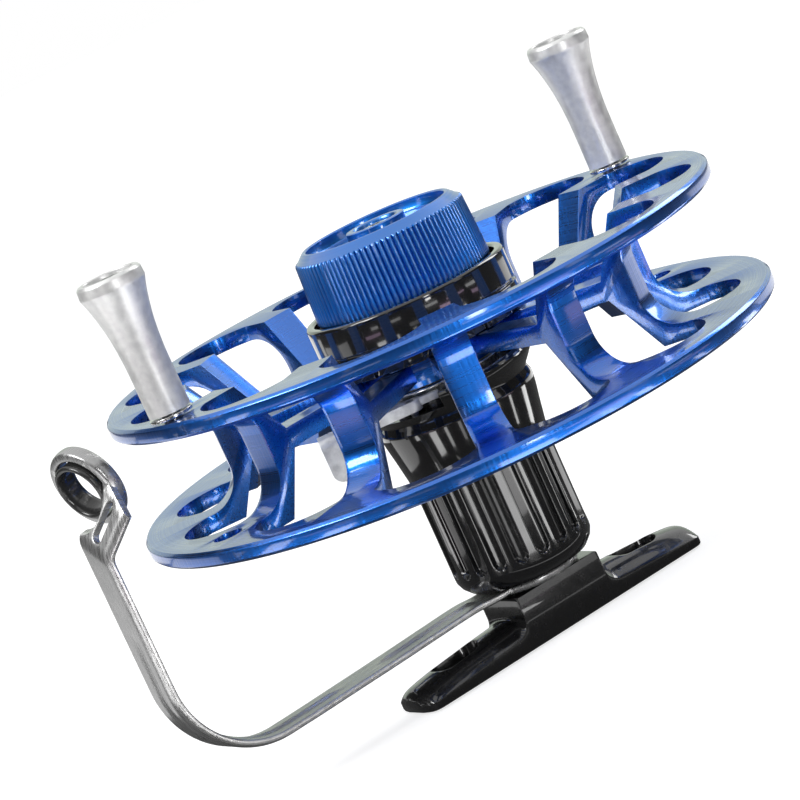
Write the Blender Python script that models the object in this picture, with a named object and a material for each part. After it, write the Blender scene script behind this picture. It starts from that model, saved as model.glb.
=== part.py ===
"""Hand-wound wheel reel: skeleton spool with two handles, drag knob, fluted body, foot and guide arm.

The origin is the middle of the foot's flat underside. +Z runs up along the spool's axis and +X along
the foot. All the lengths are in metres, written in millimetres times MM.
"""
import math

import bmesh
import bpy
from mathutils import Matrix, Vector

MM = 0.001
TURN = 2 * math.pi

# Clearances and overrun
SEAT_GAP = 0.3 * MM
RUN_GAP = 0.35 * MM
OVERRUN = 1.0 * MM

# Foot
FOOT_LENGTH = 57.0 * MM
FOOT_WIDTH = 11.0 * MM
FOOT_HEIGHT = 8.5 * MM
FOOT_BLOCK_LENGTH = 16.6 * MM
FOOT_BLOCK_SHIFT = 0.7 * MM
FOOT_ROOT_SIDE = 2.9 * MM
FOOT_TIP_SIDE = 1.1 * MM
FOOT_CROWN = 1.5 * MM
FOOT_FILLET = 2.6 * MM
FOOT_SLOT_LENGTH = 8.0 * MM
FOOT_SLOT_WIDTH = 3.6 * MM
FOOT_SLOT_PLACE = 18.6 * MM
FOOT_SLOT_LEDGE = 0.7 * MM
FOOT_SLOT_LEDGE_HEIGHT = 2.2 * MM
FOOT_KEYWAY_WIDTH = 3.2 * MM
FOOT_KEYWAY_DEPTH = 0.7 * MM
FOOT_KEYWAY_WALL = 0.8 * MM
STUD_DEPTH = 6.0 * MM

# Guide arm
ARM_THICKNESS = 1.2 * MM
ARM_ROOT_WIDTH = 7.6 * MM
ARM_WIDTH = 6.5 * MM
ARM_BEAD_WIDTH = 2.0 * MM
ARM_BEAD_HEIGHT = 0.35 * MM
ARM_RISER_GAP = 12.1 * MM
ARM_STEP = 0.25 * MM
ARM_SINK = 0.6 * MM
ARM_BEND_RADIUS = 14.4 * MM
ARM_EYE_RADIUS = 7.7 * MM
ARM_KNEE_FAR_DROP = 10.1 * MM
ARM_KNEE_NEAR_DROP = 14.1 * MM
ARM_HEAD_FAR = (5.5 * MM, -5.8 * MM, 7.3 * MM)
ARM_HEAD_NEAR = (3.8 * MM, -4.0 * MM, 5.0 * MM)
ARM_SLOT_LENGTH = 7.0 * MM
ARM_SLOT_WIDTH = 2.2 * MM
GUIDE_OUTER_RADIUS = 6.5 * MM
GUIDE_WIRE = 1.35 * MM
GUIDE_INSET = 4.5 * MM
GUIDE_SIDE = 2.5 * MM
GUIDE_DROP = 3.8 * MM
GUIDE_TURN = 12.0
GUIDE_TILT = -12.0
INSERT_HOLE_RADIUS = 3.7 * MM
INSERT_LENGTH = 3.0 * MM
INSERT_LIP_RADIUS = 4.7 * MM
INSERT_LIP_HEIGHT = 0.7 * MM

# Body
BODY_TOP_DROP = 0.1 * MM
BODY_BASE_RADIUS = 9.4 * MM
BODY_CHAMFER = 2.3 * MM
FLUTE_CREST_RADIUS = 11.4 * MM
FLUTE_COUNT = 20
BODY_SEGMENTS = 40
FLUTE_DEPTH = 0.8 * MM
FLUTE_WIDTH = 2.25 * MM
FLUTE_FOOT_GAP = 3.6 * MM
FLUTE_HEAD_GAP = 1.0 * MM
HEAD_NECK_RADIUS = 11.6 * MM
HEAD_BELLY_RADIUS = 12.8 * MM
HEAD_WAIST_RADIUS = 12.45 * MM
HEAD_RIM_RADIUS = 14.8 * MM
HEAD_LENGTH = 13.5 * MM
HEAD_FLARE_HEIGHT = 3.7 * MM
HEAD_RIM_EDGE = 0.5 * MM
CAVITY_RADIUS = 12.3 * MM
CAVITY_DEPTH = 2.4 * MM
LEVER_GATE_START = 170.0
LEVER_GATE_END = 233.0

# Shaft and bearings
SHAFT_RADIUS = 4.0 * MM
SHAFT_THREAD_RADIUS = 3.0 * MM
STUD_RADIUS = 3.2 * MM
SHAFT_FLANGE_RADIUS = 5.4 * MM
SHAFT_FLANGE_HEIGHT = 0.8 * MM
SHAFT_TRUNK_RADIUS = 5.2 * MM
SHAFT_FLAT_WIDTH = 5.0 * MM
BEARING_RADIUS = 8.0 * MM
BEARING_WIDTH = 4.0 * MM
BEARING_RACE_WALL = 1.1 * MM
BEARING_SHIELD = 0.5 * MM

# Spool
SPOOL_BASE_HEIGHT = 36.9 * MM
SPOOL_WIDTH = 21.8 * MM
LOWER_FLANGE_RADIUS = 52.5 * MM
UPPER_FLANGE_STEP = 2.3 * MM
FLANGE_THICKNESS = 2.5 * MM
FLANGE_EDGE = 0.5 * MM
FLANGE_REACH = 16.7 * MM
GROOVE_RADIUS = 5.8 * MM
FLANGE_HOLE_LAND = 1.0 * MM
ARM_RING_WALL = 4.4 * MM
WEB_THICKNESS = 3.1 * MM
POCKET_COUNT = 12
RIM_WIDTH = 4.7 * MM
SPOKE_WIDTH = 3.8 * MM
SPOKE_TURN = 4.8
HUB_DISC_RADIUS = 13.2 * MM
HUB_RADIUS = 10.35 * MM
HUB_FOOT = 8.0 * MM
HUB_HEAD = 15.9 * MM
HUB_HEAD_RADIUS = 12.2 * MM
BEARING_SHOULDER = 1.2 * MM
BEARING_SHOULDER_RADIUS = 6.6 * MM

# Ratchet and lever
RATCHET_TEETH = 24
RATCHET_TURN = 6.2
RATCHET_RADIUS = 9.1 * MM
RATCHET_TOOTH = 0.7 * MM
RATCHET_THICKNESS = 1.3 * MM
RATCHET_SPIGOT = 0.9 * MM
RATCHET_HOLE_RADIUS = 5.9 * MM
HUB_WASHER_RADIUS = 10.5 * MM
HUB_WASHER_THICKNESS = 0.4 * MM
LEVER_PIVOT_RADIUS = 11.1 * MM
LEVER_PIVOT_TURN = 206.0
LEVER_PIN_RADIUS = 0.65 * MM
LEVER_PIN_LENGTH = 4.4 * MM
LEVER_BOSS_RADIUS = 1.65 * MM
LEVER_THICKNESS = 1.2 * MM
LEVER_BLOCK_THICKNESS = 1.7 * MM
LEVER_BLOCK_LENGTH = 6.4 * MM
LEVER_LENGTH = 15.2 * MM
LEVER_WIDTH = 2.8 * MM
LEVER_OFFSET = 1.1 * MM
LEVER_TURN = 152.1
LEVER_TAB_LENGTH = 7.2 * MM
LEVER_TAB_WIDTH = 5.2 * MM
LEVER_TAB_ROUND = 2.0 * MM
LEVER_BEND_RADIUS = 0.4 * MM
LEVER_NOSE_LENGTH = 4.6 * MM
LEVER_NOSE_LIFT = 0.33 * MM
LEVER_NOSE_WIDTH = 0.62 * MM

# Drag
CUP_RADIUS = 16.5 * MM
CUP_INNER_RADIUS = 15.05 * MM
CUP_HEIGHT = 9.2 * MM
CUP_WEB_THICKNESS = 1.4 * MM
CUP_COLLAR_HEIGHT = 4.3 * MM
CUP_COLLAR_GROOVE = 0.5 * MM
CUP_NOTCH_COUNT = 12
CUP_NOTCH_WIDTH = 2.4 * MM
CUP_NOTCH_DEPTH = 0.8 * MM
CUP_SCREW_COUNT = 3
CUP_SCREW_PLACE = 10.4 * MM
CUP_SCREW_RADIUS = 0.9 * MM
CUP_SCREW_LENGTH = 5.0 * MM
DRAG_WASHER_RADIUS = 14.4 * MM
DRAG_WASHER_HOLE = 12.0 * MM
DRAG_WASHER_THICKNESS = 0.8 * MM
PLATE_RADIUS = 14.4 * MM
PLATE_THICKNESS = 0.9 * MM
DISC_SPRING_RADIUS = 9.0 * MM
DISC_SPRING_HOLE = 4.6 * MM
DISC_SPRING_THICKNESS = 0.6 * MM
DISC_SPRING_CONE = 0.7 * MM
SPRING_SEAT_THICKNESS = 0.8 * MM
DRAG_FREE_TRAVEL = 0.75 * MM

# Knob
KNOB_HEIGHT = 11.5 * MM
KNOB_SUNK = 0.5 * MM
KNOB_FOOT_RADIUS = 14.4 * MM
KNOB_HEAD_RADIUS = 13.95 * MM
KNOB_CHAMFER_HEIGHT = 1.35 * MM
KNOB_RIM_RADIUS = 12.1 * MM
KNOB_DISH_RADIUS = 11.6 * MM
KNOB_DISH_DEPTH = 1.9 * MM
KNOB_BOSS_RADIUS = 4.75 * MM
KNOB_BOSS_HOLE_RADIUS = 3.5 * MM
KNOB_ROOF_THICKNESS = 1.6 * MM
KNOB_SKIRT_RADIUS = 12.6 * MM
KNOB_RIB_COUNT = 40
KNOB_RIB_DEPTH = 0.35 * MM
KNOB_NUT_RADIUS = 6.0 * MM
KNOB_NUT_HEIGHT = 2.4 * MM
END_SCREW_RADIUS = 2.6 * MM
END_SCREW_HEAD = 0.9 * MM
END_SCREW_SHANK_RADIUS = 1.2 * MM
END_SCREW_LENGTH = 4.0 * MM

# Handles
HANDLE_INSET = 6.0 * MM
HANDLE_TURN = 4.8
HANDLE_LENGTH = 21.8 * MM
HANDLE_FOOT_RADIUS = 3.25 * MM
HANDLE_HEAD_RADIUS = 5.15 * MM
HANDLE_TIP_RADIUS = 4.9 * MM
HANDLE_BAND = 1.9 * MM
HANDLE_RECESS_RADIUS = 3.9 * MM
HANDLE_RECESS_DEPTH = 1.5 * MM
HANDLE_WASHER_RADIUS = 3.4 * MM
HANDLE_WASHER_THICKNESS = 0.5 * MM
HANDLE_POST_RADIUS = 1.5 * MM
HANDLE_POST_HEAD_RADIUS = 2.9 * MM
HANDLE_POST_HEAD = 0.8 * MM
LOWER_HOLE_RADIUS = 2.3 * MM

# Radii that follow from the lower flange
UPPER_FLANGE_RADIUS = LOWER_FLANGE_RADIUS - UPPER_FLANGE_STEP
DRUM_RADIUS = LOWER_FLANGE_RADIUS - FLANGE_REACH
FLANGE_HOLE_RADIUS = DRUM_RADIUS + FLANGE_HOLE_LAND
ARM_RING_RADIUS = DRUM_RADIUS - ARM_RING_WALL
POCKET_REACH = LOWER_FLANGE_RADIUS - RIM_WIDTH
HANDLE_PLACE = LOWER_FLANGE_RADIUS - HANDLE_INSET
ARM_REACH = LOWER_FLANGE_RADIUS + ARM_RISER_GAP

# Heights that follow from the sizes above
ARM_BASE = FOOT_HEIGHT + SEAT_GAP
BODY_BASE = ARM_BASE + ARM_THICKNESS + SEAT_GAP
SPOOL_TOP = SPOOL_BASE_HEIGHT + SPOOL_WIDTH
WEB_BASE = SPOOL_BASE_HEIGHT + (SPOOL_WIDTH - WEB_THICKNESS) / 2
WEB_TOP = WEB_BASE + WEB_THICKNESS
HUB_BASE = SPOOL_BASE_HEIGHT + HUB_FOOT
HUB_TOP = SPOOL_BASE_HEIGHT + HUB_HEAD
HUB_WASHER_BASE = HUB_BASE - SEAT_GAP - HUB_WASHER_THICKNESS
RATCHET_TOP = HUB_WASHER_BASE - SEAT_GAP
RATCHET_BASE = RATCHET_TOP - RATCHET_THICKNESS
BODY_TOP = RATCHET_TOP - BODY_TOP_DROP
CAVITY_FLOOR = BODY_TOP - CAVITY_DEPTH
LOWER_BEARING_BASE = RATCHET_TOP + RATCHET_SPIGOT + SEAT_GAP
LOWER_BEARING_TOP = LOWER_BEARING_BASE + BEARING_WIDTH
UPPER_BEARING_BASE = LOWER_BEARING_TOP + SEAT_GAP * 2 + BEARING_SHOULDER
BEARING_BORE = BEARING_RADIUS + SEAT_GAP
INNER_RACE_RADIUS = SHAFT_RADIUS + SEAT_GAP
CUP_WEB_BASE = HUB_TOP + SEAT_GAP
CUP_WEB_TOP = CUP_WEB_BASE + CUP_WEB_THICKNESS
CUP_BASE = SPOOL_TOP - CUP_HEIGHT
WASHER_BASE = CUP_WEB_TOP + SEAT_GAP
PLATE_BASE = WASHER_BASE + DRAG_WASHER_THICKNESS + SEAT_GAP
LOWER_SPRING_BASE = PLATE_BASE + PLATE_THICKNESS + SEAT_GAP + DRAG_FREE_TRAVEL
SPRING_STEP = DISC_SPRING_THICKNESS + SEAT_GAP
UPPER_SPRING_BASE = LOWER_SPRING_BASE + DISC_SPRING_CONE + SPRING_STEP
SPRING_SEAT_BASE = UPPER_SPRING_BASE + DISC_SPRING_CONE + SPRING_STEP
KNOB_BASE = SPOOL_TOP - KNOB_SUNK
KNOB_TOP = KNOB_BASE + KNOB_HEIGHT
DISH_FLOOR = KNOB_TOP - KNOB_DISH_DEPTH
KNOB_ROOF = DISH_FLOOR - KNOB_ROOF_THICKNESS
NUT_TOP = KNOB_ROOF - SEAT_GAP
NUT_BASE = NUT_TOP - KNOB_NUT_HEIGHT
SHAFT_TOP = DISH_FLOOR + SEAT_GAP
HANDLE_BASE = SPOOL_TOP + SEAT_GAP * 2 + HANDLE_WASHER_THICKNESS
HANDLE_TOP = HANDLE_BASE + HANDLE_LENGTH
ARM_KNEE_FAR_HEIGHT = SPOOL_TOP - ARM_KNEE_FAR_DROP
ARM_KNEE_NEAR_HEIGHT = SPOOL_TOP - ARM_KNEE_NEAR_DROP
GUIDE_PLACE = (GUIDE_INSET - ARM_REACH, GUIDE_SIDE, SPOOL_TOP - GUIDE_DROP)

SEGMENTS = 28
SMALL_SEGMENTS = 24
CUP_SEGMENTS = 36
FINE_SEGMENTS = 60


def clear_scene():
    """Starts from an empty scene."""
    for item in list(bpy.data.objects):
        bpy.data.objects.remove(item, do_unlink=True)


def make_material(name, colour, metallic, roughness):
    """One Principled finish."""
    material = bpy.data.materials.new(name)
    material.use_nodes = True
    shader = material.node_tree.nodes["Principled BSDF"]
    shader.inputs["Base Color"].default_value = (*colour, 1.0)
    shader.inputs["Metallic"].default_value = metallic
    shader.inputs["Roughness"].default_value = roughness
    return material


def add_object(name, mesh, material, parent=None, place=(0, 0, 0), turn=0.0, smooth=35.0):
    """Puts a mesh into the scene as one named piece."""
    mesh.materials.append(material)
    mesh.shade_smooth()
    mesh.set_sharp_from_angle(angle=math.radians(smooth))
    piece = bpy.data.objects.new(name, mesh)
    bpy.context.scene.collection.objects.link(piece)
    piece.parent = parent
    piece.location = place
    piece.rotation_euler = (0, 0, math.radians(turn))
    return piece


def add_axis(name, parent=None, place=(0, 0, 0), turn=0.0):
    """An empty on the axis of a moving piece."""
    axis = bpy.data.objects.new(name, None)
    bpy.context.scene.collection.objects.link(axis)
    axis.parent = parent
    axis.location = place
    axis.rotation_euler = (0, 0, math.radians(turn))
    return axis


def finish_mesh(name, bm):
    """Turns the faces outwards and makes the mesh."""
    bmesh.ops.recalc_face_normals(bm, faces=bm.faces)
    mesh = bpy.data.meshes.new(name)
    bm.to_mesh(mesh)
    bm.free()
    return mesh


def turned(name, profile, segments=SEGMENTS):
    """A closed (radius, height) outline spun once round Z."""
    bm = bmesh.new()
    points = [bm.verts.new((radius, 0, height)) for radius, height in profile]
    loop = [bm.edges.new((a, b)) for a, b in zip(points, points[1:] + points[:1])]
    bmesh.ops.spin(bm, geom=points + loop, cent=(0, 0, 0), axis=(0, 0, 1), angle=TURN,
                   steps=segments, use_merge=True)
    bmesh.ops.remove_doubles(bm, verts=bm.verts, dist=SEAT_GAP / 1000)
    return finish_mesh(name, bm)


def turned_solid(name, profile, segments=SEGMENTS):
    """A (radius, height) outline that runs from the axis back to the axis, spun round Z."""
    bm = bmesh.new()
    points = [bm.verts.new((radius, 0, height)) for radius, height in profile]
    line = [bm.edges.new((a, b)) for a, b in zip(points, points[1:])]
    bmesh.ops.spin(bm, geom=points + line, cent=(0, 0, 0), axis=(0, 0, 1), angle=TURN,
                   steps=segments, use_merge=True)
    bmesh.ops.remove_doubles(bm, verts=bm.verts, dist=SEAT_GAP / 1000)
    return finish_mesh(name, bm)


def prism_into(bm, outline, base, top):
    """Adds a straight prism over an (x, y) outline to a bmesh."""
    face = bm.faces.new([bm.verts.new((x, y, base)) for x, y in outline])
    grown = bmesh.ops.extrude_face_region(bm, geom=[face])["geom"]
    lifted = [item for item in grown if isinstance(item, bmesh.types.BMVert)]
    bmesh.ops.translate(bm, verts=lifted, vec=(0, 0, top - base))


def bridge(bm, first, second):
    """Joins two rings of corners with faces."""
    for a in range(len(first)):
        b = (a + 1) % len(first)
        bm.faces.new((first[a], first[b], second[b], second[a]))


def arc(centre, radius, start, end, steps):
    """Points along a round stretch, angles in degrees."""
    points = []
    for step in range(steps + 1):
        angle = math.radians(start + (end - start) * step / steps)
        points.append((centre[0] + radius * math.cos(angle), centre[1] + radius * math.sin(angle)))
    return points


def add_cutter(name, mesh, parent=None, place=(0, 0, 0), turn=0.0):
    """A hidden guide solid for a Boolean cut."""
    cutter = bpy.data.objects.new(name, mesh)
    bpy.context.scene.collection.objects.link(cutter)
    cutter.parent = parent
    cutter.location = place
    cutter.rotation_euler = (0, 0, math.radians(turn))
    cutter.hide_render = True
    cutter.display_type = "WIRE"
    return cutter


def combine(piece, tool, operation="DIFFERENCE"):
    """Cuts with a guide solid, or joins it on."""
    step = piece.modifiers.new(tool.name, "BOOLEAN")
    step.operation = operation
    step.solver = "EXACT"
    step.object = tool


def ring_profile(inner, outer, base, top, edge=0.0):
    """A flat ring's outline, with a small chamfer on its outer edges."""
    if edge == 0:
        return [(inner, base), (outer, base), (outer, top), (inner, top)]
    return [(inner, base), (outer - edge, base), (outer, base + edge), (outer, top - edge),
            (outer - edge, top), (inner, top)]


def post_mesh(name, radius, base, top, segments=SEGMENTS):
    """A plain round bar on Z."""
    return turned_solid(name, [(0, base), (radius, base), (radius, top), (0, top)], segments)


# Foot

def foot_sections():
    """(place along the foot, half width, side height, crown height) from end to end."""
    half = FOOT_LENGTH / 2
    side = FOOT_WIDTH / 2
    rows = []
    for direction in (-1, 1):
        wing = []
        block = FOOT_BLOCK_LENGTH / 2 + direction * FOOT_BLOCK_SHIFT
        root = block + FOOT_FILLET
        for share, width_share, crown_share in ((1.0, 0.6, 0.2), (0.985, 0.82, 0.4), (0.95, 0.96, 0.65),
                                                (0.88, 1.0, 0.85)):
            place = half * share
            low = FOOT_TIP_SIDE + (FOOT_ROOT_SIDE - FOOT_TIP_SIDE) * (half - place) / (half - root)
            wing.append((place, side * width_share, low, low + FOOT_CROWN * crown_share))
        wing.append((root, side, FOOT_ROOT_SIDE, FOOT_ROOT_SIDE + FOOT_CROWN))
        lifted = FOOT_ROOT_SIDE * 1.2
        wing.append((block + FOOT_FILLET * 0.45, side, lifted, lifted + FOOT_CROWN))
        wing.append((block + FOOT_FILLET * 0.14, side, FOOT_HEIGHT * 0.62, FOOT_HEIGHT * 0.76))
        wing.append((block, side, FOOT_HEIGHT * 0.97, FOOT_HEIGHT))
        wing = [(direction * place, width, low, high) for place, width, low, high in wing]
        rows += wing if direction < 0 else wing[::-1]
    return rows


def build_foot(material):
    """Two thin crowned wings on a flat-topped block, with a slot in each wing."""
    bm = bmesh.new()
    rings = []
    for place, width, low, high in foot_sections():
        lift = high - low
        outline = [(-width, 0), (width, 0), (width, low), (width * 0.75, low + lift * 0.65),
                   (width * 0.3, high), (-width * 0.3, high), (-width * 0.75, low + lift * 0.65),
                   (-width, low)]
        rings.append([bm.verts.new((place, y, z)) for y, z in outline])
    for first, second in zip(rings, rings[1:]):
        bridge(bm, first, second)
    bm.faces.new(rings[0])
    bm.faces.new(rings[-1])
    bmesh.ops.remove_doubles(bm, verts=bm.verts, dist=SEAT_GAP / 1000)
    foot = add_object("mounting_foot", finish_mesh("mounting_foot", bm), material)
    for side_name, side in (("left", -1), ("right", 1)):
        for kind, grow, base in (("slot", 0.0, -OVERRUN),
                                 ("ledge", FOOT_SLOT_LEDGE, FOOT_SLOT_LEDGE_HEIGHT)):
            radius = FOOT_SLOT_WIDTH / 2 + grow
            reach = (FOOT_SLOT_LENGTH - FOOT_SLOT_WIDTH) / 2
            outline = arc((reach, 0), radius, -90, 90, 6) + arc((-reach, 0), radius, 90, 270, 6)
            cut = bmesh.new()
            prism_into(cut, outline, base, FOOT_HEIGHT + OVERRUN)
            tool = add_cutter(f"cut_foot_{kind}_{side_name}", finish_mesh(f"foot_{kind}", cut),
                              place=(side * FOOT_SLOT_PLACE, 0, 0))
            combine(foot, tool)
    bore = post_mesh("stud_bore", STUD_RADIUS + SEAT_GAP, FOOT_HEIGHT - STUD_DEPTH - SEAT_GAP,
                     FOOT_HEIGHT + OVERRUN, 24)
    combine(foot, add_cutter("cut_stud_bore", bore))
    half = FOOT_KEYWAY_WIDTH / 2
    near = STUD_RADIUS + SEAT_GAP + half + FOOT_KEYWAY_WALL
    far = FOOT_BLOCK_LENGTH / 2 + FOOT_BLOCK_SHIFT - FOOT_KEYWAY_WALL - half
    keyway = bmesh.new()
    prism_into(keyway, arc((far, 0), half, -90, 90, 6) + arc((near, 0), half, 90, 270, 6),
               FOOT_HEIGHT - FOOT_KEYWAY_DEPTH, FOOT_HEIGHT + OVERRUN)
    combine(foot, add_cutter("cut_foot_keyway", finish_mesh("foot_keyway", keyway)))


# Guide arm

def arm_stations():
    """The strip's cross-sections: far edge, near edge, direction of the inner face, bead share."""
    middle = ARM_BASE + ARM_THICKNESS / 2
    low = middle - ARM_SINK
    corner = ARM_REACH - ARM_BEND_RADIUS
    flat = ((0.07, middle, 0.0), (0.19, middle, 0.0), (0.27, middle + ARM_STEP, 1.0),
            (0.58, middle - ARM_SINK * 0.3, 1.0), (0.62, middle - ARM_SINK * 0.4, 0.0),
            (0.76, middle - ARM_SINK * 0.65, 0.0), (0.8, middle - ARM_SINK * 0.72, 1.0))
    path = [(-corner * share, height, 0.0, bead_share) for share, height, bead_share in flat]
    for step in range(8):
        angle = math.radians(90 * step / 7)
        path.append((-corner - ARM_BEND_RADIUS * math.sin(angle),
                     low + ARM_BEND_RADIUS * (1 - math.cos(angle)), angle, 1.0))
    rise = low + ARM_BEND_RADIUS
    up = math.radians(90)
    path += [(-ARM_REACH, rise + (ARM_KNEE_NEAR_HEIGHT - rise) * 0.3, up, 1.0),
             (-ARM_REACH, rise + (ARM_KNEE_NEAR_HEIGHT - rise) * 0.36, up, 0.0)]
    stations = []
    for x, z, tilt, bead_share in path:
        half = (ARM_ROOT_WIDTH + (ARM_WIDTH - ARM_ROOT_WIDTH) * -x / ARM_REACH) / 2
        inner = Vector((math.sin(tilt), 0, math.cos(tilt)))
        stations.append((Vector((x, half, z)), Vector((x, -half, z)), inner, bead_share))
    far = Vector((-ARM_REACH, ARM_WIDTH / 2, ARM_KNEE_FAR_HEIGHT))
    near = Vector((-ARM_REACH, -ARM_WIDTH / 2, ARM_KNEE_NEAR_HEIGHT))
    head = (near - far).cross(Vector(ARM_HEAD_FAR)).normalized() * -1
    knee = (head + Vector((1, 0, 0))).normalized()
    stations.append((far, near, knee, 0.0))
    stations.append((far + Vector(ARM_HEAD_FAR), near + Vector(ARM_HEAD_NEAR), head, 0.0))
    return stations


def strip_section(half, bead_share):
    """Section of the pressed strip: (share of the width from the far edge, out of the inner face)."""
    skin = ARM_THICKNESS / 2
    rise = ARM_BEAD_HEIGHT * bead_share
    bead = ARM_BEAD_WIDTH / 4 / half
    crest = bead * 0.5
    return [(0.0, -skin), (0.5 - bead, -skin), (0.5 - crest, rise - skin), (0.5 + crest, rise - skin),
            (0.5 + bead, -skin), (1.0, -skin), (1.0, skin), (0.5 + bead, skin), (0.5 + crest, skin + rise),
            (0.5 - crest, skin + rise), (0.5 - bead, skin), (0.0, skin)]


def guide_frame():
    """Place and tilt of the guide eye: its hole runs along the local Z."""
    outward = Vector((-1, 0, 0))
    outward.rotate(Matrix.Rotation(math.radians(GUIDE_TURN), 4, "Z"))
    side = outward.cross(Vector((0, 0, 1))).normalized()
    outward.rotate(Matrix.Rotation(math.radians(GUIDE_TILT), 4, side))
    turn = outward.to_track_quat("Z", "Y").to_matrix().to_4x4()
    return Matrix.Translation(GUIDE_PLACE) @ turn


def build_guide_arm(material, insert_material):
    """Pressed steel strip with a clamping eye, a bent-up head with a slot, and the guide eye."""
    bm = bmesh.new()
    rings = []
    for far, near, inner, bead_share in arm_stations():
        section = strip_section((far - near).length / 2, bead_share)
        rings.append([bm.verts.new(far.lerp(near, share) + inner * out) for share, out in section])
    for first, second in zip(rings, rings[1:]):
        bridge(bm, first, second)
    bm.faces.new(rings[0])
    bm.faces.new(rings[-1])
    arm = add_object("guide_arm", finish_mesh("guide_arm", bm), material)

    eye = turned("arm_eye", ring_profile(STUD_RADIUS + SEAT_GAP, ARM_EYE_RADIUS, ARM_BASE,
                                         ARM_BASE + ARM_THICKNESS))
    combine(arm, add_cutter("join_arm_eye", eye), "UNION")
    core = post_mesh("arm_eye_bore", STUD_RADIUS + SEAT_GAP, ARM_BASE - OVERRUN,
                     ARM_BASE + ARM_THICKNESS + OVERRUN)
    combine(arm, add_cutter("cut_arm_eye", core))

    slot = bmesh.new()
    reach = (ARM_SLOT_LENGTH - ARM_SLOT_WIDTH) / 2
    outline = (arc((reach, 0), ARM_SLOT_WIDTH / 2, -90, 90, 5)
               + arc((-reach, 0), ARM_SLOT_WIDTH / 2, 90, 270, 5))
    prism_into(slot, outline, -ARM_WIDTH / 2, ARM_WIDTH / 2)
    far, near, head, flat = arm_stations()[-1]
    low_far, low_near, knee, bead_share = arm_stations()[-2]
    along = (far - low_far).normalized()
    across = head.cross(along)
    turn = Matrix((along, across, head)).transposed().to_4x4()
    middle = (far + near + low_far + low_near) / 4
    slot_mesh = finish_mesh("arm_slot", slot)
    slot_mesh.transform(Matrix.Translation(middle) @ turn)
    combine(arm, add_cutter("cut_arm_slot", slot_mesh))

    frame = guide_frame()
    wire = GUIDE_WIRE
    seat = GUIDE_OUTER_RADIUS - wire
    loop = arc((seat, 0), wire, 20, 340, 8)
    rim = turned("guide_rim", loop, SMALL_SEGMENTS)
    rim.transform(frame)
    combine(arm, add_cutter("join_guide_rim", rim), "UNION")
    clear = post_mesh("guide_clear", seat - wire * 0.2, -INSERT_LENGTH * 2, INSERT_LENGTH * 2,
                      SMALL_SEGMENTS)
    clear.transform(frame)
    combine(arm, add_cutter("cut_guide_hole", clear))

    outer = seat - wire * 0.2 - SEAT_GAP
    half = INSERT_LENGTH / 2
    wall = (outer - INSERT_HOLE_RADIUS) / 2
    under = wire + SEAT_GAP
    lip = INSERT_LIP_RADIUS
    rise = INSERT_LIP_HEIGHT
    bore = [(INSERT_HOLE_RADIUS + wall * 0.6, -half), (outer, -half * 0.7), (outer, under), (lip, under),
            (lip, under + rise * 0.55), (lip - wall * 0.5, under + rise * 0.9),
            (outer - wall * 0.2, under + rise), (INSERT_HOLE_RADIUS + wall * 0.6, under + rise * 0.6),
            (INSERT_HOLE_RADIUS, half * 0.6), (INSERT_HOLE_RADIUS, -half * 0.5)]
    insert = turned("guide_ring", bore, SMALL_SEGMENTS)
    insert.transform(frame)
    add_object("guide_ring", insert, insert_material)


# Body

def flute_slots(low, high):
    """Flat-floored slots with round ends, set round the body."""
    bm = bmesh.new()
    half = FLUTE_WIDTH / 2
    outline = arc((0, high - half), half, 0, 180, 4) + arc((0, low + half), half, 180, 360, 4)
    for number in range(FLUTE_COUNT):
        turn = Matrix.Rotation(TURN * (number + 0.25) / FLUTE_COUNT, 3, "Z")
        rings = []
        for radius in (FLUTE_CREST_RADIUS - FLUTE_DEPTH, FLUTE_CREST_RADIUS + OVERRUN):
            rings.append([bm.verts.new(turn @ Vector((radius, across, height))) for across, height in outline])
        bridge(bm, *rings)
        for ring in rings:
            bm.faces.new(ring)
    return finish_mesh("flutes", bm)


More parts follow.
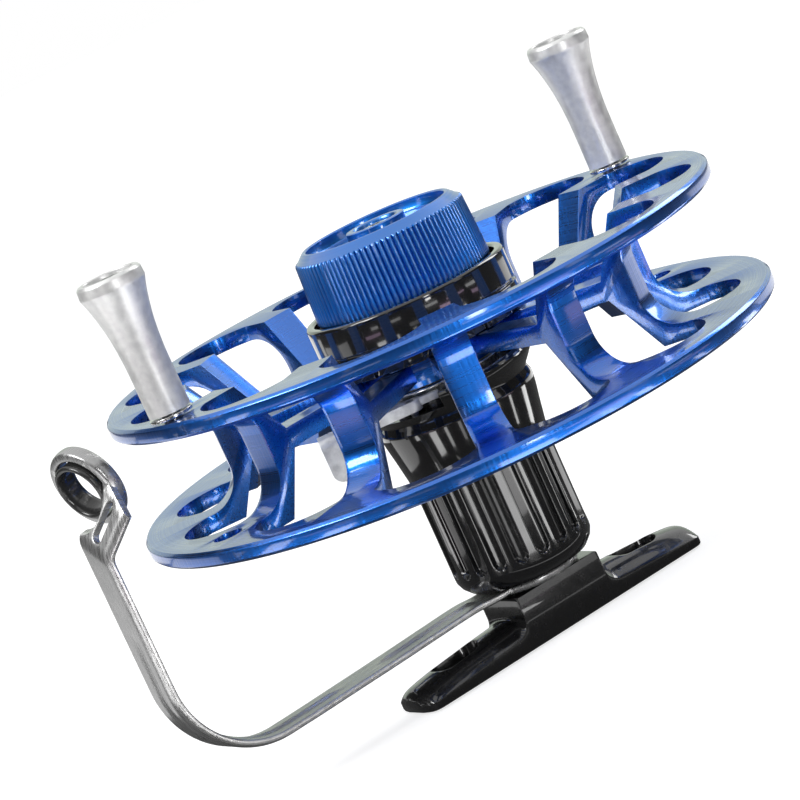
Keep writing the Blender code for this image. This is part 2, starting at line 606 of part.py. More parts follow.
def build_body(material):
    """Fluted cylinder under a flared head that holds the ratchet."""
    base = BODY_BASE
    neck = BODY_TOP - HEAD_LENGTH
    waist = BODY_TOP - HEAD_FLARE_HEIGHT
    flare = HEAD_RIM_RADIUS - HEAD_WAIST_RADIUS
    belly = HEAD_BELLY_RADIUS
    outline = [(SHAFT_TRUNK_RADIUS + SEAT_GAP, base), (BODY_BASE_RADIUS, base)]
    chamfer = FLUTE_CREST_RADIUS - BODY_BASE_RADIUS
    outline += [(BODY_BASE_RADIUS + chamfer * 0.6, base + BODY_CHAMFER * 0.35),
                (FLUTE_CREST_RADIUS, base + BODY_CHAMFER)]
    outline += [(FLUTE_CREST_RADIUS, neck - FLUTE_DEPTH / 2), (HEAD_NECK_RADIUS, neck),
                ((HEAD_NECK_RADIUS + belly) / 2, neck + HEAD_LENGTH * 0.28),
                (belly - (belly - HEAD_NECK_RADIUS) * 0.15, neck + HEAD_LENGTH * 0.47),
                (belly, waist - HEAD_FLARE_HEIGHT * 0.55), (belly, waist - HEAD_FLARE_HEIGHT * 0.3),
                (HEAD_WAIST_RADIUS, waist)]
    outline += [(HEAD_WAIST_RADIUS + flare * grow, waist + HEAD_FLARE_HEIGHT * share)
                for grow, share in ((0.11, 0.14), (0.36, 0.33), (0.74, 0.65), (0.95, 0.81))]
    outline += [(HEAD_RIM_RADIUS, BODY_TOP - HEAD_RIM_EDGE), (HEAD_RIM_RADIUS - HEAD_RIM_EDGE, BODY_TOP)]
    outline += [(CAVITY_RADIUS, BODY_TOP), (CAVITY_RADIUS, CAVITY_FLOOR),
                (SHAFT_TRUNK_RADIUS + SEAT_GAP, CAVITY_FLOOR)]
    body = add_object("fluted_body", turned("fluted_body", outline, BODY_SEGMENTS), material, smooth=30.0)

    combine(body, add_cutter("cut_flutes", flute_slots(base + FLUTE_FOOT_GAP, neck - FLUTE_HEAD_GAP)))

    gate = bmesh.new()
    inner = CAVITY_RADIUS - OVERRUN
    outer = HEAD_RIM_RADIUS + OVERRUN
    outline = (arc((0, 0), outer, LEVER_GATE_START, LEVER_GATE_END, 8)
               + arc((0, 0), inner, LEVER_GATE_END, LEVER_GATE_START, 8))
    prism_into(gate, outline, CAVITY_FLOOR, BODY_TOP + OVERRUN)
    combine(body, add_cutter("cut_lever_gate", finish_mesh("lever_gate", gate)))

    place = pivot_place()
    bore = post_mesh("pin_bore", LEVER_PIN_RADIUS + SEAT_GAP, BODY_TOP - LEVER_PIN_LENGTH - SEAT_GAP * 2,
                     BODY_TOP + OVERRUN, 12)
    combine(body, add_cutter("cut_pin_bore", bore, place=place))


def build_shaft(material):
    """Stepped shaft: stud in the foot, trunk, flange, bearing seats, keyed thread."""
    stud_base = FOOT_HEIGHT - STUD_DEPTH
    key_base = WASHER_BASE
    outline = [(0, stud_base), (STUD_RADIUS, stud_base), (STUD_RADIUS, BODY_BASE),
               (SHAFT_TRUNK_RADIUS, BODY_BASE), (SHAFT_TRUNK_RADIUS, CAVITY_FLOOR),
               (SHAFT_TRUNK_RADIUS, LOWER_BEARING_BASE - SEAT_GAP - SHAFT_FLANGE_HEIGHT),
               (SHAFT_FLANGE_RADIUS, LOWER_BEARING_BASE - SEAT_GAP - SHAFT_FLANGE_HEIGHT),
               (SHAFT_FLANGE_RADIUS, LOWER_BEARING_BASE - SEAT_GAP),
               (SHAFT_RADIUS, LOWER_BEARING_BASE - SEAT_GAP), (SHAFT_RADIUS, key_base),
               (SHAFT_THREAD_RADIUS, key_base), (SHAFT_THREAD_RADIUS, SHAFT_TOP), (0, SHAFT_TOP)]
    shaft = add_object("main_shaft", turned_solid("main_shaft", outline, SMALL_SEGMENTS), material)
    flats = bmesh.new()
    far = SHAFT_RADIUS * 2
    half = SHAFT_FLAT_WIDTH / 2
    for side in (-1, 1):
        outline = [(-far, side * half), (far, side * half), (far, side * far), (-far, side * far)]
        prism_into(flats, outline, key_base + SEAT_GAP, NUT_BASE - SEAT_GAP)
    combine(shaft, add_cutter("cut_shaft_flats", finish_mesh("shaft_flats", flats)))
    bore = post_mesh("end_bore", END_SCREW_SHANK_RADIUS + SEAT_GAP, SHAFT_TOP - END_SCREW_LENGTH - SEAT_GAP,
                     SHAFT_TOP + OVERRUN, 12)
    combine(shaft, add_cutter("cut_end_bore", bore))


def build_end_screw(material):
    """Pan-head screw in the shaft's end, seen in the knob's boss."""
    base = SHAFT_TOP + SEAT_GAP
    radius = END_SCREW_RADIUS
    outline = [(0, base - END_SCREW_LENGTH), (END_SCREW_SHANK_RADIUS, base - END_SCREW_LENGTH),
               (END_SCREW_SHANK_RADIUS, base), (radius, base), (radius, base + END_SCREW_HEAD * 0.6),
               (radius * 0.7, base + END_SCREW_HEAD), (0, base + END_SCREW_HEAD)]
    screw = add_object("shaft_end_screw", turned_solid("shaft_end_screw", outline, 16), material)
    cross = bmesh.new()
    arm = END_SCREW_RADIUS * 0.5
    thin = END_SCREW_RADIUS * 0.13
    outline = [(arm, thin), (thin, thin), (thin, arm), (-thin, arm), (-thin, thin), (-arm, thin),
               (-arm, -thin), (-thin, -thin), (-thin, -arm), (thin, -arm), (thin, -thin), (arm, -thin)]
    prism_into(cross, outline, base + END_SCREW_HEAD * 0.4, base + END_SCREW_HEAD * 2)
    combine(screw, add_cutter("cut_end_cross", finish_mesh("end_cross", cross)))


# Spool

def spool_profile():
    """Outline of the turned blank, round from the bore."""
    base = SPOOL_BASE_HEIGHT
    top = SPOOL_TOP
    edge = FLANGE_EDGE
    low_groove = base + FLANGE_THICKNESS + GROOVE_RADIUS
    high_groove = top - FLANGE_THICKNESS - GROOVE_RADIUS
    floor = DRUM_RADIUS + GROOVE_RADIUS
    points = [(BEARING_BORE, HUB_BASE), (HUB_RADIUS, HUB_BASE), (HUB_RADIUS, WEB_BASE),
              (ARM_RING_RADIUS, WEB_BASE), (FLANGE_HOLE_RADIUS, base)]
    points += [(LOWER_FLANGE_RADIUS - edge, base), (LOWER_FLANGE_RADIUS, base + edge),
               (LOWER_FLANGE_RADIUS, base + FLANGE_THICKNESS - edge),
               (LOWER_FLANGE_RADIUS - edge, base + FLANGE_THICKNESS)]
    points += arc((floor, low_groove), GROOVE_RADIUS, 270, 180, 4)
    points += arc((floor, high_groove), GROOVE_RADIUS, 180, 90, 4)
    points += [(UPPER_FLANGE_RADIUS - edge, top - FLANGE_THICKNESS),
               (UPPER_FLANGE_RADIUS, top - FLANGE_THICKNESS + edge), (UPPER_FLANGE_RADIUS, top - edge),
               (UPPER_FLANGE_RADIUS - edge, top)]
    points += [(FLANGE_HOLE_RADIUS, top), (ARM_RING_RADIUS, WEB_TOP), (HUB_HEAD_RADIUS, WEB_TOP),
               (HUB_HEAD_RADIUS, HUB_TOP), (BEARING_BORE, HUB_TOP)]
    shoulder = LOWER_BEARING_TOP + SEAT_GAP
    points += [(BEARING_BORE, shoulder + BEARING_SHOULDER),
               (BEARING_SHOULDER_RADIUS, shoulder + BEARING_SHOULDER),
               (BEARING_SHOULDER_RADIUS, shoulder), (BEARING_BORE, shoulder)]
    return points


def pocket_outline():
    """One pocket between two spokes, round at its outer end."""
    half = math.pi / POCKET_COUNT
    edge = SPOKE_WIDTH / 2
    reach = (POCKET_REACH + edge) / (1 + math.sin(half))
    radius = reach * math.sin(half) - edge
    outer = arc((reach, 0), radius, -90 + math.degrees(half), 90 - math.degrees(half), 7)
    inner_angle = half - math.asin(edge / HUB_DISC_RADIUS)
    inner = arc((0, 0), HUB_DISC_RADIUS, math.degrees(inner_angle), -math.degrees(inner_angle), 3)
    return outer + inner


def build_spool(material, parent):
    """Turned blank with twelve through pockets, which leave the spokes and arms."""
    blank = turned("spool", spool_profile(), FINE_SEGMENTS)
    spool = add_object("spool", blank, material, parent, turn=SPOKE_TURN, smooth=30.0)
    bm = bmesh.new()
    outline = pocket_outline()
    for number in range(POCKET_COUNT):
        angle = TURN * (number + 0.5) / POCKET_COUNT
        turn = Matrix.Rotation(angle, 2)
        turned_outline = [tuple(turn @ Vector(point)) for point in outline]
        prism_into(bm, turned_outline, SPOOL_BASE_HEIGHT - OVERRUN, SPOOL_TOP + OVERRUN)
    pockets = add_cutter("cut_pockets", finish_mesh("pockets", bm), parent, turn=SPOKE_TURN)
    combine(spool, pockets)
    holes = bmesh.new()
    for side in (-1, 1):
        for radius, base, top in ((HANDLE_POST_RADIUS + SEAT_GAP, SPOOL_TOP - FLANGE_THICKNESS - OVERRUN,
                                   SPOOL_TOP + OVERRUN),
                                  (LOWER_HOLE_RADIUS, SPOOL_BASE_HEIGHT - OVERRUN,
                                   SPOOL_BASE_HEIGHT + FLANGE_THICKNESS + OVERRUN)):
            prism_into(holes, arc((side * HANDLE_PLACE, 0), radius, 10, 350, 17), base, top)
    hole_mesh = finish_mesh("handle_holes", holes)
    combine(spool, add_cutter("cut_handle_holes", hole_mesh, parent, turn=HANDLE_TURN))
    screws = bmesh.new()
    for x, y in cup_screw_places():
        prism_into(screws, arc((x, y), CUP_SCREW_RADIUS + SEAT_GAP, 0, 330, 11),
                   HUB_TOP - CUP_SCREW_LENGTH, HUB_TOP + OVERRUN)
    combine(spool, add_cutter("cut_hub_screws", finish_mesh("hub_screws", screws), parent))


def bearing(name, base, race_material, spool_axis):
    """One shielded bearing: an inner race on the shaft and an outer race in the hub."""
    top = base + BEARING_WIDTH
    inner = ring_profile(INNER_RACE_RADIUS, INNER_RACE_RADIUS + BEARING_RACE_WALL, base, top)
    add_object(f"{name}_inner_race", turned(f"{name}_inner_race", inner, SMALL_SEGMENTS), race_material)
    lip = INNER_RACE_RADIUS + BEARING_RACE_WALL + RUN_GAP
    wall = BEARING_RADIUS - BEARING_RACE_WALL
    outer = [(lip, base), (BEARING_RADIUS, base), (BEARING_RADIUS, top), (lip, top),
             (lip, top - BEARING_SHIELD), (wall, top - BEARING_SHIELD), (wall, base + BEARING_SHIELD),
             (lip, base + BEARING_SHIELD)]
    outer_mesh = turned(f"{name}_outer_race", outer, SMALL_SEGMENTS)
    add_object(f"{name}_outer_race", outer_mesh, race_material, spool_axis)


def build_ratchet(steel, bright, parent):
    """Ratchet wheel with a spigot in the hub's bore, and the bright washer above it."""
    bm = bmesh.new()
    root = RATCHET_RADIUS - RATCHET_TOOTH
    outline = []
    start = math.radians(RATCHET_TURN)
    for tooth in range(RATCHET_TEETH):
        for share, radius in ((0.0, root), (0.12, RATCHET_RADIUS), (0.2, RATCHET_RADIUS)):
            angle = start + TURN * (tooth + share) / RATCHET_TEETH
            outline.append((radius * math.cos(angle), radius * math.sin(angle)))
    prism_into(bm, outline, RATCHET_BASE, RATCHET_TOP)
    wheel = add_object("ratchet_wheel", finish_mesh("ratchet_wheel", bm), steel, parent)
    spigot = turned("ratchet_spigot", ring_profile(RATCHET_HOLE_RADIUS, BEARING_RADIUS,
                                                   (RATCHET_BASE + RATCHET_TOP) / 2,
                                                   RATCHET_TOP + RATCHET_SPIGOT), SMALL_SEGMENTS)
    combine(wheel, add_cutter("join_ratchet_spigot", spigot, parent), "UNION")
    hole = post_mesh("ratchet_hole", RATCHET_HOLE_RADIUS, RATCHET_BASE - OVERRUN,
                     RATCHET_TOP + RATCHET_SPIGOT + OVERRUN, SMALL_SEGMENTS)
    combine(wheel, add_cutter("cut_ratchet_hole", hole, parent))
    washer = ring_profile(BEARING_RADIUS + SEAT_GAP, HUB_WASHER_RADIUS, HUB_WASHER_BASE,
                          HUB_WASHER_BASE + HUB_WASHER_THICKNESS)
    add_object("hub_washer", turned("hub_washer", washer), bright, parent)


# Brake lever

def pivot_place():
    """Axis of the lever's pin."""
    angle = math.radians(LEVER_PIVOT_TURN)
    return Vector((LEVER_PIVOT_RADIUS * math.cos(angle), LEVER_PIVOT_RADIUS * math.sin(angle), 0))


def lever_plate(base, top):
    """Flat plate with boss, nose and bar, and the finger tab bent down from the bar's edge."""
    low = -LEVER_OFFSET - LEVER_WIDTH
    bend = -LEVER_OFFSET
    near = LEVER_LENGTH - LEVER_TAB_WIDTH
    boss = LEVER_BOSS_RADIUS
    nose = LEVER_NOSE_LENGTH
    outline = [(-nose, LEVER_NOSE_LIFT), (-nose * 0.74, LEVER_NOSE_LIFT * 1.05)]
    outline += arc((0, 0), boss, 212, 270, 3)
    outline += [(LEVER_BLOCK_LENGTH * 0.45, low), (LEVER_LENGTH, low), (LEVER_LENGTH, bend), (near, bend),
                (near * 0.88, bend * 0.2), (near * 0.74, boss * 0.85)]
    outline += arc((0, 0), boss, 75, 150, 3)
    outline += [(-nose * 0.98, LEVER_NOSE_LIFT + LEVER_NOSE_WIDTH)]
    bm = bmesh.new()
    lower = [bm.verts.new((x, y, base)) for x, y in outline]
    upper = [bm.verts.new((x, y, top)) for x, y in outline]
    bm.faces.new(lower[::-1])
    bm.faces.new(upper)
    count = len(outline)
    open_side = outline.index((LEVER_LENGTH, bend))
    for a in range(count):
        if a != open_side:
            b = (a + 1) % count
            bm.faces.new((lower[a], lower[b], upper[b], upper[a]))
    far_end, near_end = open_side, open_side + 1
    ring = [lower[far_end], lower[near_end], upper[near_end], upper[far_end]]
    inner = LEVER_BEND_RADIUS
    outer = LEVER_BEND_RADIUS + top - base
    rows = []
    for step in range(1, 5):
        angle = math.radians(90 * step / 4)
        rows.append([(LEVER_LENGTH, inner, angle), (near, inner, angle), (near, outer, angle),
                     (LEVER_LENGTH, outer, angle)])
    for row in rows:
        following = [bm.verts.new((x, bend + reach * math.sin(angle), base - inner + reach * math.cos(angle)))
                     for x, reach, angle in row]
        bridge(bm, ring, following)
        ring = following
    bottom = top - LEVER_TAB_LENGTH
    rounding = LEVER_TAB_ROUND
    for step in range(5):
        angle = math.radians(90 * step / 4)
        inset = rounding * (1 - math.cos(angle))
        height = bottom + rounding * (1 - math.sin(angle))
        following = [bm.verts.new((x, bend + reach, height))
                     for x, reach in ((LEVER_LENGTH - inset, inner), (near + inset, inner),
                                      (near + inset, outer), (LEVER_LENGTH - inset, outer))]
        bridge(bm, ring, following)
        ring = following
    bm.faces.new(ring)
    return finish_mesh("brake_lever", bm)


def build_lever(silver, steel):
    """Lever on its pin, with a thicker block round the boss."""
    place = pivot_place()
    top = RATCHET_TOP - SEAT_GAP
    base = top - LEVER_THICKNESS
    axis = add_axis("lever_axis", None, place, LEVER_TURN)
    lever = add_object("brake_lever", lever_plate(base, top), silver, axis)
    block = bmesh.new()
    outline = arc((0, 0), LEVER_BOSS_RADIUS * 0.95, 90, 270, 8)
    outline += [(LEVER_BLOCK_LENGTH, -LEVER_BOSS_RADIUS * 0.95),
                (LEVER_BLOCK_LENGTH, LEVER_BOSS_RADIUS * 0.8)]
    prism_into(block, outline, top - LEVER_BLOCK_THICKNESS, (base + top) / 2)
    combine(lever, add_cutter("join_lever_block", finish_mesh("lever_block", block), axis), "UNION")
    hole = post_mesh("lever_hole", LEVER_PIN_RADIUS + SEAT_GAP, base - OVERRUN, top + OVERRUN, 16)
    combine(lever, add_cutter("cut_lever_hole", hole, axis))
    pin = post_mesh("lever_pin", LEVER_PIN_RADIUS, BODY_TOP - LEVER_PIN_LENGTH - SEAT_GAP, top, 12)
    add_object("lever_pin", pin, steel, None, place)


# Drag

def cup_screw_places():
    """Centres of the screws that hold the cup."""
    places = []
    for number in range(CUP_SCREW_COUNT):
        angle = TURN * number / CUP_SCREW_COUNT
        places.append((CUP_SCREW_PLACE * math.cos(angle), CUP_SCREW_PLACE * math.sin(angle)))
    return places


def build_cup(material, screw_material, parent):
    """Black cup with a notched collar, screwed on the hub."""
    collar = CUP_BASE + CUP_COLLAR_HEIGHT
    groove = CUP_COLLAR_GROOVE
    outline = [(CUP_INNER_RADIUS, CUP_BASE), (CUP_RADIUS, CUP_BASE), (CUP_RADIUS, collar - groove),
               (CUP_RADIUS - groove, collar - groove), (CUP_RADIUS - groove, collar), (CUP_RADIUS, collar),
               (CUP_RADIUS, SPOOL_TOP - groove), (CUP_RADIUS - groove, SPOOL_TOP),
               (CUP_INNER_RADIUS, SPOOL_TOP), (CUP_INNER_RADIUS, CUP_WEB_TOP),
               (BEARING_BORE, CUP_WEB_TOP), (BEARING_BORE, CUP_WEB_BASE),
               (CUP_INNER_RADIUS, CUP_WEB_BASE)]
    cup = add_object("drag_cup", turned("drag_cup", outline, CUP_SEGMENTS), material, parent)
    notches = bmesh.new()
    for number in range(CUP_NOTCH_COUNT):
        turn = Matrix.Rotation(TURN * number / CUP_NOTCH_COUNT, 2)
        half = CUP_NOTCH_WIDTH / 2
        near = CUP_RADIUS - CUP_NOTCH_DEPTH
        far = CUP_RADIUS + OVERRUN
        outline = [(near, -half), (far, -half), (far, half), (near, half)]
        prism_into(notches, [tuple(turn @ Vector(p)) for p in outline], CUP_BASE - OVERRUN,
                   collar - groove * 2)
    combine(cup, add_cutter("cut_cup_notches", finish_mesh("cup_notches", notches), parent))
    holes = bmesh.new()
    for x, y in cup_screw_places():
        prism_into(holes, arc((x, y), CUP_SCREW_RADIUS + SEAT_GAP, 0, 330, 11), CUP_WEB_BASE - OVERRUN,
                   CUP_WEB_TOP + OVERRUN)
    combine(cup, add_cutter("cut_cup_holes", finish_mesh("cup_holes", holes), parent))
    for number, (x, y) in enumerate(cup_screw_places()):
        base = HUB_TOP - CUP_SCREW_LENGTH + SEAT_GAP
        shank = post_mesh(f"cup_screw_{number + 1}", CUP_SCREW_RADIUS, base, CUP_WEB_TOP, 12)
        add_object(f"cup_screw_{number + 1}", shank, screw_material, parent, (x, y, 0))


def build_drag(steel, carriage):
    """Keyed pressure plate, two disc springs and their seat."""
    blank = post_mesh("pressure_plate", PLATE_RADIUS, PLATE_BASE, PLATE_BASE + PLATE_THICKNESS,
                      SMALL_SEGMENTS)
    plate = add_object("pressure_plate", blank, steel)
    key = bmesh.new()
    reach = SHAFT_THREAD_RADIUS + SEAT_GAP
    half = math.degrees(math.asin((SHAFT_FLAT_WIDTH / 2 + SEAT_GAP) / reach))
    outline = arc((0, 0), reach, -half, half, 6) + arc((0, 0), reach, 180 - half, 180 + half, 6)
    prism_into(key, outline, PLATE_BASE - OVERRUN, PLATE_BASE + PLATE_THICKNESS + OVERRUN)
    combine(plate, add_cutter("cut_plate_key", finish_mesh("plate_key", key)))
    cone = DISC_SPRING_CONE
    thick = DISC_SPRING_THICKNESS
    low = LOWER_SPRING_BASE
    first = [(DISC_SPRING_HOLE, low + cone), (DISC_SPRING_RADIUS, low), (DISC_SPRING_RADIUS, low + thick),
             (DISC_SPRING_HOLE, low + cone + thick)]
    add_object("disc_spring_1", turned("disc_spring_1", first, SMALL_SEGMENTS), steel, carriage)
    low = UPPER_SPRING_BASE
    second = [(DISC_SPRING_HOLE, low), (DISC_SPRING_RADIUS, low + cone),
              (DISC_SPRING_RADIUS, low + cone + thick), (DISC_SPRING_HOLE, low + thick)]
    add_object("disc_spring_2", turned("disc_spring_2", second, SMALL_SEGMENTS), steel, carriage)
    seat = ring_profile(SHAFT_THREAD_RADIUS + RUN_GAP, DISC_SPRING_RADIUS, SPRING_SEAT_BASE,
                        SPRING_SEAT_BASE + SPRING_SEAT_THICKNESS)
    add_object("spring_seat", turned("spring_seat", seat, SMALL_SEGMENTS), steel, carriage)


def build_drag_washer(fibre, parent):
    """Fibre friction washer that lies on the cup's web."""
    ring = ring_profile(DRAG_WASHER_HOLE, DRAG_WASHER_RADIUS, WASHER_BASE,
                        WASHER_BASE + DRAG_WASHER_THICKNESS)
    add_object("drag_washer", turned("drag_washer", ring, SMALL_SEGMENTS), fibre, parent)


# Knob

def build_knob(blue, brass, parent):
    """Knurled knob with a chamfered rim, a dished top and a central boss."""
    chamfer = KNOB_TOP - KNOB_CHAMFER_HEIGHT
    rings = [(KNOB_BASE, KNOB_FOOT_RADIUS - KNOB_RIB_DEPTH, 0.0),
             (KNOB_BASE + KNOB_RIB_DEPTH, KNOB_FOOT_RADIUS, 1.0), (chamfer, KNOB_HEAD_RADIUS, 1.0),
             (chamfer + KNOB_RIB_DEPTH, KNOB_HEAD_RADIUS - KNOB_RIB_DEPTH, 0.0),
             (KNOB_TOP, KNOB_RIM_RADIUS, 0.0)]
    bm = bmesh.new()
    count = KNOB_RIB_COUNT * 2
    loops = []
    for height, radius, rib_share in rings:
        loop = []
        for number in range(count):
            angle = TURN * number / count
            reach = radius - KNOB_RIB_DEPTH * rib_share * (number % 2)
            loop.append(bm.verts.new((reach * math.cos(angle), reach * math.sin(angle), height)))
        loops.append(loop)
    for first, second in zip(loops, loops[1:]):
        bridge(bm, first, second)
    bm.faces.new(loops[0][::-1])
    bm.faces.new(loops[-1])
    knob = add_object("drag_knob", finish_mesh("drag_knob", bm), blue, parent, smooth=20.0)
    hollow = [(0, KNOB_BASE - OVERRUN), (KNOB_SKIRT_RADIUS, KNOB_BASE - OVERRUN),
              (KNOB_SKIRT_RADIUS, KNOB_ROOF), (0, KNOB_ROOF)]
    combine(knob, add_cutter("cut_knob_hollow", turned_solid("knob_hollow", hollow), parent))
    dish = [(KNOB_BOSS_RADIUS, DISH_FLOOR), (KNOB_DISH_RADIUS - OVERRUN, DISH_FLOOR),
            (KNOB_DISH_RADIUS, KNOB_TOP + OVERRUN), (KNOB_BOSS_RADIUS, KNOB_TOP + OVERRUN)]
    combine(knob, add_cutter("cut_knob_dish", turned("knob_dish", dish), parent))
    hole = post_mesh("knob_hole", KNOB_BOSS_HOLE_RADIUS, KNOB_BASE, KNOB_TOP + OVERRUN)
    combine(knob, add_cutter("cut_knob_hole", hole, parent))
    ring = ring_profile(SHAFT_THREAD_RADIUS + SEAT_GAP, KNOB_NUT_RADIUS, NUT_BASE, NUT_TOP)
    add_object("knob_nut", turned("knob_nut", ring, SMALL_SEGMENTS), brass, parent)


# Handles

def build_handle(number, side, silver, bright, steel, spool_axis):
    """Turned handle that spins on its post, with the washer under it."""
    angle = math.radians(HANDLE_TURN)
    place = (side * HANDLE_PLACE * math.cos(angle), side * HANDLE_PLACE * math.sin(angle), 0)
    axis = add_axis(f"handle_{number}_axis", spool_axis, place)
    bore = HANDLE_POST_RADIUS + RUN_GAP
    base = HANDLE_BASE
    top = HANDLE_TOP
    outline = [(bore, base), (HANDLE_FOOT_RADIUS, base)]
    flare = HANDLE_HEAD_RADIUS - HANDLE_FOOT_RADIUS
    for share, grow in ((0.35, 0.0), (0.5, 0.08), (0.62, 0.22), (0.74, 0.46), (0.84, 0.74)):
        outline.append((HANDLE_FOOT_RADIUS + flare * grow, base + HANDLE_LENGTH * share))
    recess = HANDLE_RECESS_DEPTH
    outline += [(HANDLE_HEAD_RADIUS, top - HANDLE_BAND), (HANDLE_TIP_RADIUS, top),
                (HANDLE_RECESS_RADIUS, top), (HANDLE_RECESS_RADIUS, top - recess), (bore, top - recess)]
    add_object(f"handle_{number}", turned(f"handle_{number}", outline, SMALL_SEGMENTS), silver, axis)
    washer_base = SPOOL_TOP + SEAT_GAP
    ring = ring_profile(bore, HANDLE_WASHER_RADIUS, washer_base, washer_base + HANDLE_WASHER_THICKNESS)
    washer_mesh = turned(f"handle_washer_{number}", ring, SMALL_SEGMENTS)
    add_object(f"handle_washer_{number}", washer_mesh, bright, spool_axis, place)
    head = top - recess + SEAT_GAP
    radius = HANDLE_POST_HEAD_RADIUS
    post = [(0, SPOOL_TOP - FLANGE_THICKNESS), (HANDLE_POST_RADIUS, SPOOL_TOP - FLANGE_THICKNESS),
            (HANDLE_POST_RADIUS, head), (radius, head), (radius, head + HANDLE_POST_HEAD * 0.6),
            (radius * 0.7, head + HANDLE_POST_HEAD), (0, head + HANDLE_POST_HEAD)]
    post_solid = turned_solid(f"handle_post_{number}", post, SMALL_SEGMENTS)
    add_object(f"handle_post_{number}", post_solid, steel, spool_axis, place)


def build():
    """Makes the whole reel."""
    clear_scene()
    blue = make_material("blue_anodised", (0.02, 0.12, 0.62), 0.9, 0.22)
    black = make_material("gloss_black", (0.012, 0.012, 0.013), 0.0, 0.12)
    silver = make_material("satin_silver", (0.68, 0.68, 0.67), 1.0, 0.32)
    stainless = make_material("stainless_strip", (0.5, 0.5, 0.5), 1.0, 0.3)
    steel = make_material("plain_steel", (0.42, 0.42, 0.43), 1.0, 0.35)
    brass = make_material("brass", (0.7, 0.5, 0.2), 1.0, 0.35)
    fibre = make_material("fibre", (0.12, 0.08, 0.05), 0.0, 0.8)
    ceramic = make_material("guide_insert", (0.1, 0.1, 0.1), 0.3, 0.25)

    build_foot(black)
    build_guide_arm(stainless, ceramic)
    build_body(black)
    build_shaft(steel)
    build_end_screw(steel)

    spool_axis = add_axis("spool_axis")
    build_spool(blue, spool_axis)
    bearing("lower_bearing", LOWER_BEARING_BASE, steel, spool_axis)
    bearing("upper_bearing", UPPER_BEARING_BASE, steel, spool_axis)
    spacer = ring_profile(INNER_RACE_RADIUS, INNER_RACE_RADIUS + BEARING_RACE_WALL,
                          LOWER_BEARING_TOP + SEAT_GAP, UPPER_BEARING_BASE - SEAT_GAP)
    add_object("bearing_spacer", turned("bearing_spacer", spacer, SMALL_SEGMENTS), steel)
    build_ratchet(steel, stainless, spool_axis)
    build_cup(black, steel, spool_axis)
    build_drag_washer(fibre, spool_axis)

    build_lever(silver, steel)

    carriage = add_axis("knob_carriage_axis")
    build_drag(steel, carriage)
    knob_axis = add_axis("knob_axis", carriage)
    build_knob(blue, brass, knob_axis)

    for number, side in ((1, -1), (2, 1)):
        build_handle(number, side, silver, stainless, steel, spool_axis)


build()
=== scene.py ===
# %% [markdown]
# # A hand-wound wheel reel
# The reel has a blue anodised skeleton spool that two silver handles wind directly, a gloss black
# body and foot, a bent steel guide arm and a drag knob. The solids come packed as a frame, and this
# lesson dresses them: some pieces get a better finish, others are turned or carved again more finely.

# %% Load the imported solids
import math

import bmesh
import bpy
from mathutils import Matrix, Vector


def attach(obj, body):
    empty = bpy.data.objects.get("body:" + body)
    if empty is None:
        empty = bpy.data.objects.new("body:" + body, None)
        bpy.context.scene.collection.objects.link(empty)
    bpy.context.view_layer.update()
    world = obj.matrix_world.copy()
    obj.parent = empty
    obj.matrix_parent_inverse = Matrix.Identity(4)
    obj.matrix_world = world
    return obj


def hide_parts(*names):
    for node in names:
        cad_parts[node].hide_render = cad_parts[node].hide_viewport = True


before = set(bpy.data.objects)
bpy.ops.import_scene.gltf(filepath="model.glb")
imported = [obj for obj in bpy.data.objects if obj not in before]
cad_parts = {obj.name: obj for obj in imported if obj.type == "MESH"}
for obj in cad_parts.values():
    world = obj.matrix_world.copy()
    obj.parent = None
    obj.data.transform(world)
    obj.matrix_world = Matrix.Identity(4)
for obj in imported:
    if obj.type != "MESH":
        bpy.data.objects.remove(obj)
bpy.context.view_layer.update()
bpy.context.scene.view_settings.view_transform = "Standard"
MM = 0.001
TURN = 2 * math.pi

# %% [markdown]
# ## The camera
# A product photo like this one is taken with a long lens from a little above the reel, and the reel
# is tipped in the picture. Here the reel stands upright on its foot, so the camera is rolled instead.
# Its three axes were found by fitting the rims of the flanges, the handles and the foot.

# %% Camera
REEL_TURN = -27.9
CAMERA_PLACE = (-13.9, -484.6, 67.9)
AIM_TOP = 58.7
SENSOR_WIDTH = 36
FOCAL_PIXELS = 3185.5
PICTURE_PIXELS = 800


def link_object(name, data):
    """A new object in the scene."""
    thing = bpy.data.objects.new(name, data)
    bpy.context.scene.collection.objects.link(thing)
    return thing


view_turn = Matrix.Rotation(math.radians(REEL_TURN), 3, "Z")
view_right = view_turn @ Vector((0.9101, -0.082, -0.4063))
view_down = view_turn @ Vector((-0.4143, -0.1499, -0.8977))
view_forward = view_turn @ Vector((0.0127, 0.9853, -0.1704))
view_place = view_turn @ Vector(CAMERA_PLACE) * MM + Vector((0, 0, AIM_TOP)) * MM
camera_data = bpy.data.cameras.new("product_camera")
camera_data.sensor_width = SENSOR_WIDTH
camera_data.lens = SENSOR_WIDTH * FOCAL_PIXELS / PICTURE_PIXELS
camera_data.clip_start = 0.01
camera = link_object("product_camera", camera_data)
camera.matrix_world = Matrix((view_right, -view_down, -view_forward)).transposed().to_4x4()
camera.location = view_place
bpy.context.scene.camera = camera
print("camera at", [round(v, 4) for v in view_place])

# %% [markdown]
# ## The studio
# Polished metal looks like what stands round it. A white room alone makes it flat, so a photographer
# adds dark cards that the camera doesn't see, and soft lamps that give the rims their bright lines.
# The floor is white in the picture and keeps a soft shadow of the reel. Because the camera looks a
# little down, an upright wall mirrors the floor in front of it, so narrow bright strips lie there too.
# The higher a wall stands, the farther out it looks, and so each strip lights one tier of the reel.

